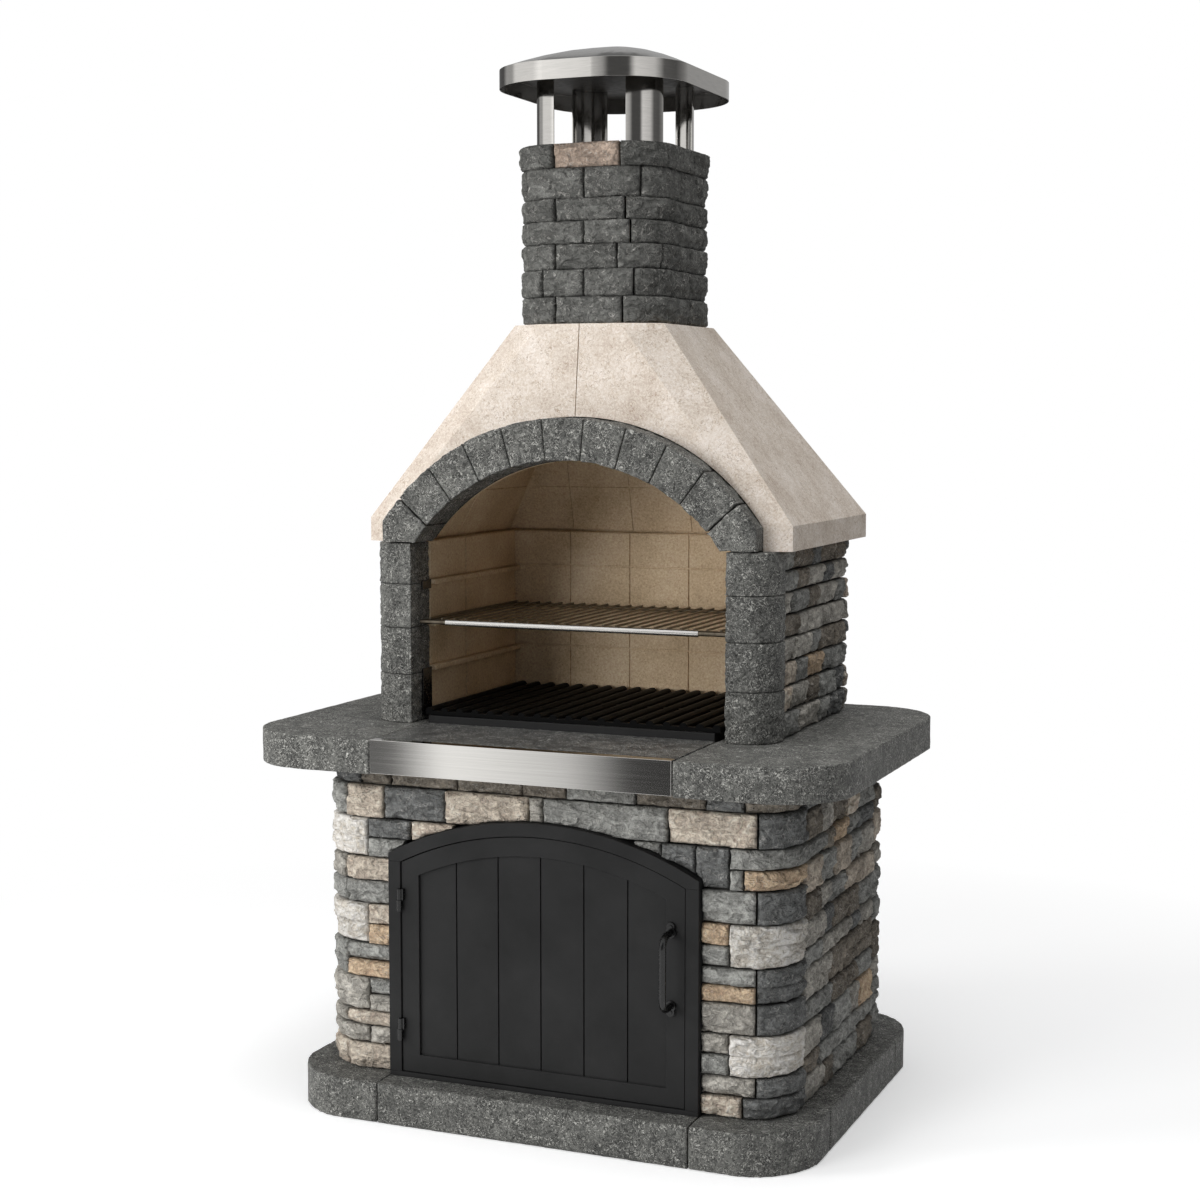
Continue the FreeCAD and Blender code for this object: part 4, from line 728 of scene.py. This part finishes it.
# chimney: dark stones, one beige stone in the proud top course
stack = {
    "radius": 100 * mm, "innerRadius": 95 * mm, "proud": 5 * mm, "thick": 44 * mm, "step": 3.4 * mm,
    "chip": 3 * mm, "chipSize": 30 * mm, "fine": 1.4 * mm, "fineSize": 12 * mm, "grain": 0.3 * mm,
    "ease": 3.6 * mm, "pillow": 1.3 * mm, "ledge": 4 * mm, "shadow": 28 * mm, "seed": 40000, "tintSeed": 5,
    "tone": colour(94, 94, 91), "beige": colour(150, 134, 121), "spread": 0.14,
    "topCourse": 10 * mm, "beigeReach": 60 * mm,
}
stackLow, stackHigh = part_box("chimney_stones")
stackOutline = Outline(stackLow[:2], stackHigh[:2], stack["radius"])
proud = Vector((stack["proud"], stack["proud"], 0))
innerStack = Outline((stackLow + proud)[:2], (stackHigh - proud)[:2], stack["innerRadius"])
stackDraw = random.Random(stack["tintSeed"])


def stackTint(points):
    centre = (points.min(0) + points.max(0)) / 2
    top = points[:, 2].max() > stackHigh.z - stack["topCourse"]
    front = centre[1] < stackLow.y + stack["beigeReach"] and abs(centre[0]) < stack["beigeReach"]
    return varied(stack["beige" if top and front else "tone"], stackDraw, stack["spread"]), False


stoneWall("chimney_stones", [innerStack, stackOutline], stack, stackTint, stack["seed"])


# cast and hewn blocks: evenly meshed, arrises worn, faces uneven
slabs = {
    "voxel": 3.8 * mm, "wear": 1, "chip": 0.5 * mm, "chipSize": 40 * mm, "grain": 0.5 * mm, "grainSize": 12 * mm,
    "tight": 0.0, "seed": 300, "seedStep": 50,
}
blocks = {
    "voxel": 2.6 * mm, "wear": 1, "chip": 2.2 * mm, "chipSize": 20 * mm, "grain": 0.9 * mm, "grainSize": 7 * mm,
    "tight": 0.9, "jointFrom": 0.75, "jointOver": 0.15, "seed": 900, "seedStep": 200,
}
blockSeedStep = 13


def hewn(name, look, seed):
    verts, polys = [], []
    total = 0
    solids = islands(name)
    middles = [(points.min(0) + points.max(0)) / 2 for points, _ in solids]
    for number, (points, faces) in enumerate(solids):
        blockSeed = seed + number * blockSeedStep
        block = bpy.data.meshes.new("block")
        block.from_pydata(points.tolist(), [], faces)
        block = changed(block, "REMESH", mode="VOXEL", voxel_size=look["voxel"])
        block = changed(block, "SMOOTH", factor=0.5, iterations=look["wear"])
        spot, out = np.empty(len(block.vertices) * 3), np.empty(len(block.vertices) * 3)
        block.vertices.foreach_get("co", spot)
        block.vertices.foreach_get("normal", out)
        spot, out = spot.reshape(-1, 3), out.reshape(-1, 3)
        dip = look["chip"] * (1 - chipped(spot, look["chipSize"], blockSeed))
        dip += look["grain"] * (1 - smoothNoise(spot, look["grainSize"], blockSeed + 1)) / 2
        dip -= dip.min()
        if look["tight"]:  # the faces towards the next block stay nearly flat, so the joint is thin
            away = [middle - middles[number] for other, middle in enumerate(middles) if other != number]
            along = min(away, key=np.linalg.norm)
            facing = np.abs(out @ (along / np.linalg.norm(along)))
            dip *= 1 - look["tight"] * np.clip((facing - look["jointFrom"]) / look["jointOver"], 0, 1)
        verts.append(np.clip(spot - out * dip[:, None], points.min(0), points.max(0)))
        polys += [tuple(index + total for index in face.vertices) for face in block.polygons]
        total += len(spot)
    mesh = bpy.data.meshes.new(name + "_hewn")
    mesh.from_pydata(np.concatenate(verts).tolist(), [], polys)
    shade(mesh)
    dress(place(name + "_hewn", mesh), name, darkStone)
    print(name, "faces:", len(polys))


for turn, name in enumerate(("plinth_front", "plinth_back", "plinth_sides", "plinth_corners",
                             "worktop_right", "worktop_left", "worktop_back")):
    hewn(name, slabs, slabs["seed"] + slabs["seedStep"] * turn)
for turn, name in enumerate(("pillar_right", "pillar_left", "arch_stones", "arch_springers")):
    hewn(name, blocks, blocks["seed"] + blocks["seedStep"] * turn)

# hood: cream outside, clay inside, mortar behind the arch and in the joints between its quarters
hood = {
    "round": 4 * mm, "segments": 3, "inward": 0.05, "archGap": 6 * mm, "upward": 0.02,
    "jointInset": 4.5 * mm, "jointReach": 1 * mm, "flat": 0.5,
}
stackMiddle = (stackLow + stackHigh) / 2
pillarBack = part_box("pillar_right")[1].y
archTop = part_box("arch_stones")[1].z
for name in ("hood_front_left", "hood_back_left", "hood_front_right", "hood_back_right"):
    quarter = softened(name, creamStone, hood["round"], hood["segments"]).data
    quarter.materials.append(clay)
    quarter.materials.append(mortar)
    for face in quarter.polygons:
        out = (face.center - stackMiddle).xy.normalized()
        behindArch = abs(face.center.y - pillarBack) < hood["archGap"] and face.center.z < archTop
        if face.normal.xy.dot(out) < hood["inward"]:
            face.material_index = 1
        elif behindArch and face.normal.z < hood["upward"]:
            face.material_index = 2
seamLow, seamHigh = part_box("hood_front_left")[1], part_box("hood_back_right")[0]
seamMiddle = (seamLow + seamHigh) / 2
bm = bmesh.new()
for name in ("hood_front_left", "hood_back_right"):
    side = welded(name)
    bmesh.ops.dissolve_limit(side, angle_limit=math.radians(hood["flat"]), verts=side.verts, edges=side.edges)
    flats = [face for face in side.faces
             if min(abs(gap) for gap in (face.calc_center_median() - seamMiddle).xy) < hood["jointReach"]]
    bmesh.ops.inset_individual(side, faces=flats, thickness=hood["jointInset"])
    for face in flats:
        inner = [bm.verts.new(vert.co) for vert in face.verts]
        outer = [bm.verts.new(vert.co + face.normal * (seamHigh.x - seamLow.x)) for vert in face.verts]
        bm.faces.new(inner[::-1])
        bm.faces.new(outer)
        for k in range(len(inner)):
            after = (k + 1) % len(inner)
            bm.faces.new((inner[k], inner[after], outer[after], outer[k]))
    side.free()
bmesh.ops.recalc_face_normals(bm, faces=bm.faces)
joints = bpy.data.meshes.new("hood_joints")
bm.to_mesh(joints)
bm.free()
joints.materials.append(mortar)
hoodJoints = place("hood_joints", joints)
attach(hoodJoints, "masonry")
for name in ("cabinet_floor", "base_core_right", "base_core_left", "base_core_back", "base_piers", "base_lintel",
             "base_slab", "firebox_cores"):
    keepNode(name, mortar)
print("stone laid")

# fireclay lining: tiles with open joints on a backing, shelves between them
tile = {
    "joint": 3 * mm, "deep": 3 * mm, "round": 1.4 * mm, "sideJoint": 10 * mm, "shelfEdge": 0.1 * mm, "digits": 4,
    "columns": [-195 * mm, -57 * mm, 77 * mm, 212 * mm], "rows": [867 * mm, 1042 * mm],
}


def tiles(bm, spans, flat):
    # boxes between the lines of two directions; flat gives the box for one pair of spans
    for (aLow, aHigh), (bLow, bHigh) in itertools.product(*spans):
        gap = tile["joint"] / 2
        addBox(bm, *flat((aLow + gap, aHigh - gap), (bLow + gap, bHigh - gap)))


def pairs(values):
    return list(zip(values, values[1:]))


backLow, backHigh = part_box("lining_back")
bm = bmesh.new()
addBox(bm, (backLow.x, backLow.y + tile["deep"], backLow.z), backHigh)
across = [backLow.x] + tile["columns"] + [backHigh.x]
upward = [backLow.z] + tile["rows"] + [backHigh.z]
tiles(bm, (pairs(across), pairs(upward)),
      lambda a, b: ((a[0], backLow.y, b[0]), (a[1], backLow.y + 2 * tile["deep"], b[1])))
dress(eased(bm, "lining_back_tiles", tile["round"]), "lining_back", clay)


def wallBox(side, first, second, y, z):
    # a box between two distances from the middle, on the right or the left
    low, high = sorted((side * first, side * second))
    return (low, y[0], z[0]), (high, y[1], z[1])


for name, side in (("lining_right", 1), ("lining_left", -1)):
    low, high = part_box(name)
    points = np.concatenate([solid for solid, _ in islands(name)])
    reach = np.abs(points[:, 0])
    outer, edge = reach.max(), reach.min()
    face = sorted(set(np.round(reach, tile["digits"])))[1]
    shelves = sorted(set(np.round(points[reach < edge + tile["shelfEdge"], 2], tile["digits"])))
    levels = pairs([low.z] + shelves + [high.z])  # tiles and shelves by turns
    behind = face + 2 * tile["deep"]
    bm = bmesh.new()
    addBox(bm, *wallBox(side, face + tile["deep"], outer, (low.y, high.y), (low.z, high.z)))
    for shelf in levels[1::2]:
        addBox(bm, *wallBox(side, edge, behind, (low.y, high.y), shelf))
    across = [low.y, tile["sideJoint"], high.y]
    tiles(bm, (pairs(across), levels[0::2]), lambda a, b: wallBox(side, face, behind, a, b))
    dress(eased(bm, name + "_tiles", tile["round"]), name, clay)
keepNode("flue_liner", clay)

# thin tiles on the hood's inner slopes; width, back and front run from the foot to the throat, in millimetres
slope = {
    "foot": 1115, "throat": 1541, "width": (350.5, 104), "back": (277, 168), "front": (-150, -98),
    "backTilt": 0.25, "sideTilt": 0.58, "least": 6 * mm, "round": 0.8 * mm, "bed": (0.2 * mm, 1.0 * mm),
    "rows": [1118 * mm, 1213 * mm, 1309 * mm, 1405 * mm],
}


def slopeAt(z, line):
    low, high = slope[line]
    return (low + (high - low) * (z / mm - slope["foot"]) / (slope["throat"] - slope["foot"])) * mm


def slopeTile(bm, corners, inward, low, high):
    # a thin tile from four corners, its face towards the fire
    front = [bm.verts.new(Vector(corner) + inward * high) for corner in corners]
    back = [bm.verts.new(Vector(corner) + inward * low) for corner in corners]
    bm.faces.new(front)
    bm.faces.new(back[::-1])
    for k in range(4):
        bm.faces.new((front[k], back[k], back[(k + 1) % 4], front[(k + 1) % 4]))


def slopeRow(bm, zs, gap, lines, sideLines, low, high):
    # one row of tiles on the back slope and on both side slopes
    widths, backs, fronts = [[slopeAt(z, line) for z in zs] for line in ("width", "back", "front")]
    inward = Vector((0, -1, -slope["backTilt"])).normalized()
    for left, right in pairs([-1.0] + lines + [1.0]):
        ends = [(max(left + gap, -width + gap), min(right - gap, width - gap)) for width in widths]
        if all(end[1] - end[0] > slope["least"] for end in ends):
            slopeTile(bm, [(ends[0][0], backs[0], zs[0]), (ends[0][1], backs[0], zs[0]),
                           (ends[1][1], backs[1], zs[1]), (ends[1][0], backs[1], zs[1])], inward, low, high)
    for side in (1, -1):
        inward = Vector((-side, 0, -slope["sideTilt"])).normalized()
        for first, second in pairs([fronts] + [[line] * 2 for line in sideLines] + [backs]):
            slopeTile(bm, [(side * widths[0], first[0] + gap, zs[0]), (side * widths[0], second[0] - gap, zs[0]),
                           (side * widths[1], second[1] - gap, zs[1]), (side * widths[1], first[1] + gap, zs[1])],
                      inward, low, high)


bm = bmesh.new()
gap = tile["joint"] / 2
bed, bedTop = slope["bed"]
slopeRow(bm, (slope["rows"][0], slope["rows"][-1]), 0.0, [], [], bed, bedTop)
for low, high in pairs(slope["rows"]):
    slopeRow(bm, (low + gap, high - gap), gap, tile["columns"], [tile["sideJoint"]], bedTop, tile["deep"])
bmesh.ops.recalc_face_normals(bm, faces=bm.faces)
hoodTiles = eased(bm, "hood_tiles", slope["round"])
hoodTiles.data.materials.append(clay)
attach(hoodTiles, "masonry")
print("lining tiled")

# apron slab and metal: finish, how far the edges are rounded, and the pieces
rounded = [
    (polished, 1.5 * mm, ["apron_slab"]),
    (fasciaSteel, 0.8 * mm, ["drawer_front"]),
    (capSteel, 0.4 * mm, ["cap_roof", "cap_plate", "cap_posts"]),
    (gloss, 0.8 * mm, ["hook_plates"]),
    (trayIron, 1.0 * mm, ["fire_tray"]),
    (iron, 1.2 * mm, ["fire_grate"]),
    (blackPaint, 1.0 * mm, ["door_jambs", "door_sill", "door_head", "door_leaf", "door_planks", "door_braces",
                            "door_catch"]),
    (gloss, 0.6 * mm, ["hinge_frame_barrels", "hinge_leaf_barrels"]),
    (gloss, 0.8 * mm, ["handle_screws"]),
]
asBuilt = {
    "drawer_tray": traySteel, "drawer_runners": traySteel, "cooking_grate": wireSteel, "grate_sleeve": sleeveSteel,
    "hinge_pins": gloss, "door_handle": gloss,
}
shadeBelow = -0.5  # how far a face of the cap looks down before it is painted dark as shade
for material, width, names in rounded:
    for name in names:
        mesh = softened(name, material, width).data
        # painted shade: the cap's down-facing faces take a dark material
        if material == capSteel:
            mesh.materials.append(undersideShade)
            for face in mesh.polygons:
                if face.normal.z < shadeBelow:
                    face.material_index = 1
for name, material in asBuilt.items():
    keepNode(name, material)
print("metal dressed")


# floor and backdrop: white to the camera and in reflections, with a soft shadow near the barbecue
def whiteRays(tree):
    path = node(tree, "LightPath").outputs
    either = node(tree, "Math", {0: path["Is Camera Ray"], 1: path["Is Glossy Ray"]}, operation="MAXIMUM")
    anyRay = node(tree, "Math", {0: either.outputs[0], 1: path["Is Transmission Ray"]}, operation="MAXIMUM")
    return anyRay.outputs[0]


def level(name, low, high, z):
    # a flat rectangle
    mesh = bpy.data.meshes.new(name)
    mesh.from_pydata([(low[0], low[1], z), (high[0], low[1], z), (high[0], high[1], z), (low[0], high[1], z)],
                     [], [(0, 1, 2, 3)])
    return mesh


white = (1.0, 1.0, 1.0, 1.0)
floorLook = {
    "reach": 40.0, "level": -0.5 * mm, "bounce": (0.8, 0.8, 0.8, 1.0), "roughness": 0.9,
    "tone": (0.82, 0.82, 0.82, 1.0), "glow": 0.36, "fade": (0.3, 0.3, 0.3), "fadeEdge": [(0.3, 0.0), (0.7, 1.0)],
}
floorPaint, floorTree, floorShader = newMaterial("floor_paint")
floorShader.inputs["Base Color"].default_value = floorLook["bounce"]
floorShader.inputs["Roughness"].default_value = floorLook["roughness"]
floorShader.inputs["Specular IOR Level"].default_value = 0.0
soft = node(floorTree, "BsdfDiffuse", {"Color": floorLook["tone"]})
glow = node(floorTree, "Emission", {"Color": white, "Strength": floorLook["glow"]})
shown = node(floorTree, "AddShader", {0: soft.outputs["BSDF"], 1: glow.outputs["Emission"]})
bare = node(floorTree, "Emission", {"Color": white, "Strength": 1.0})
floorSpot = node(floorTree, "Mapping", {"Vector": spots(floorTree), "Scale": floorLook["fade"]}).outputs["Vector"]
ball = node(floorTree, "TexGradient", {"Vector": floorSpot}, gradient_type="SPHERICAL").outputs["Fac"]
near = ramp(floorTree, ball, floorLook["fadeEdge"])
faded = node(floorTree, "MixShader", {"Fac": near, 1: bare.outputs["Emission"], 2: shown.outputs["Shader"]})
paint = node(floorTree, "MixShader", {"Fac": whiteRays(floorTree), 1: floorShader.outputs["BSDF"],
                                      2: faded.outputs["Shader"]})
floorTree.links.new(paint.outputs["Shader"], floorTree.nodes["Material Output"].inputs["Surface"])
reach = floorLook["reach"]
floorMesh = level("floor", (-reach, -reach), (reach, reach), floorLook["level"])
floorMesh.materials.append(floorPaint)
piece = place("floor", floorMesh)

# what the steel mirrors: a drum round the studio and a low card in front, light and dark by turns, and a ceiling
# the drum's turns are in degrees from the front to the right, the card's places run across
mirrored = {
    "away": 6.0, "tall": 5.0, "steps": 144, "front": -3.0, "frontTop": 1.3,
    "drum": [(-180, 0.5), (-168, 0.4), (-148, 0.38), (-135, 0.12), (-112, 0.1), (-100, 0.5), (-84, 0.5),
             (-76, 1.1), (-40, 1.1), (-30, 1.5), (-24, 1.5), (-19, 0.8), (-3, 0.5), (6, 0.1), (37, 0.1), (47, 1.0),
             (78, 0.8), (95, 0.15), (120, 0.12), (140, 0.26), (160, 0.45), (180, 0.5)],
    "card": [(-2.9, 0.14), (-1.64, 0.16), (-1.47, 1.3), (-1.02, 0.8), (-0.82, 0.06), (0.6, 0.05)],
    "ceiling": 5.6, "ceilingReach": ((-4.0, 4.0), (4.0, 9.0)), "ceilingTone": 0.15,
}
cloth, clothTree, _ = newMaterial("studio_cloth")
clothTone = node(clothTree, "Attribute", attribute_name="tone").outputs["Color"]
clothGlow = node(clothTree, "Emission", {"Color": clothTone, "Strength": 1.0})
clothTree.links.new(clothGlow.outputs["Emission"], clothTree.nodes["Material Output"].inputs["Surface"])


def band(name, line, low, high):
    # an upright band over a line of places and tones
    mesh = bpy.data.meshes.new(name)
    corners = [(x, y, z) for x, y, tone in line for z in (low, high)]
    mesh.from_pydata(corners, [], [(k, k + 2, k + 3, k + 1) for k in range(0, len(corners) - 2, 2)])
    onlyMirrored(name, mesh, [tone for x, y, tone in line for z in (low, high)])


def onlyMirrored(name, mesh, tones):
    # seen in the steel and nowhere else
    toneOn = mesh.attributes.new("tone", "FLOAT_COLOR", "POINT")
    toneOn.data.foreach_set("color", np.ravel([(tone, tone, tone, 1.0) for tone in tones]))
    mesh.materials.append(cloth)
    piece = place(name, mesh)
    piece.visible_camera = False
    piece.visible_diffuse = False
    piece.visible_shadow = False
    piece.visible_transmission = False


turns, tones = zip(*mirrored["drum"])
drumLine = []
for turn in np.linspace(turns[0], turns[-1], mirrored["steps"] + 1):
    x, y = mirrored["away"] * math.sin(math.radians(turn)), -mirrored["away"] * math.cos(math.radians(turn))
    drumLine.append((x, y, float(np.interp(turn, turns, tones))))
band("drum", drumLine, 0.0, mirrored["tall"])
band("front_card", [(x, mirrored["front"], tone) for x, tone in mirrored["card"]], 0.0, mirrored["frontTop"])
ceiling = level("ceiling", *mirrored["ceilingReach"], mirrored["ceiling"])
onlyMirrored("ceiling", ceiling, [mirrored["ceilingTone"]] * len(ceiling.vertices))

# studio: even light, three soft lamps, white behind
studio = {"tone": (0.97, 0.98, 1.0, 1.0), "strength": 0.26}
lamps = {
    "key": {"spot": (-2.2, -5.0, 1.9), "target": (0, 0, 0.95), "size": 2.2, "power": 152},
    "side": {"spot": (-4.5, -3.2, 2.6), "target": (0, 0, 1.4), "size": 1.6, "power": 130},
    "overhead": {"spot": (0.8, -0.6, 5.2), "target": (0.2, 0, 0.9), "size": 3.0, "power": 122},
}
world = bpy.data.worlds.new("studio")
bpy.context.scene.world = world
world.use_nodes = True
worldTree = world.node_tree
even = worldTree.nodes["Background"]
even.inputs["Color"].default_value = studio["tone"]
even.inputs["Strength"].default_value = studio["strength"]
backdrop = node(worldTree, "Background", {"Color": white, "Strength": 1.0})
seen = node(worldTree, "MixShader", {"Fac": whiteRays(worldTree), 1: even.outputs["Background"],
                                     2: backdrop.outputs["Background"]})
worldTree.links.new(seen.outputs["Shader"], worldTree.nodes["World Output"].inputs["Surface"])


def softbox(name, spot, target, size, power):
    lamp = bpy.data.lights.new(name, "AREA")
    lamp.shape = "RECTANGLE"
    lamp.size = lamp.size_y = size
    lamp.energy = power
    holder = place(name, lamp)
    holder.location = spot
    holder.rotation_euler = (Vector(target) - Vector(spot)).to_track_quat("-Z", "Y").to_euler()
    holder.visible_glossy = False


for name, look in lamps.items():
    softbox(name, **look)

# camera, from the front and a little to the right; angles in degrees
shot = {"spot": (1.598, -3.846, 1.379), "tilt": 84.73, "turn": 22.82, "lens": 62.39, "sensor": 36.0}
cameraData = bpy.data.cameras.new("camera")
cameraData.sensor_width = shot["sensor"]
cameraData.lens = shot["lens"]
cameraData.dof.use_dof = False
camera = place("camera", cameraData)
camera.location = shot["spot"]
camera.rotation_euler = (math.radians(shot["tilt"]), 0, math.radians(shot["turn"]))
bpy.context.scene.camera = camera
bpy.context.scene.view_settings.view_transform = "Standard"

print("floor, light and camera set")
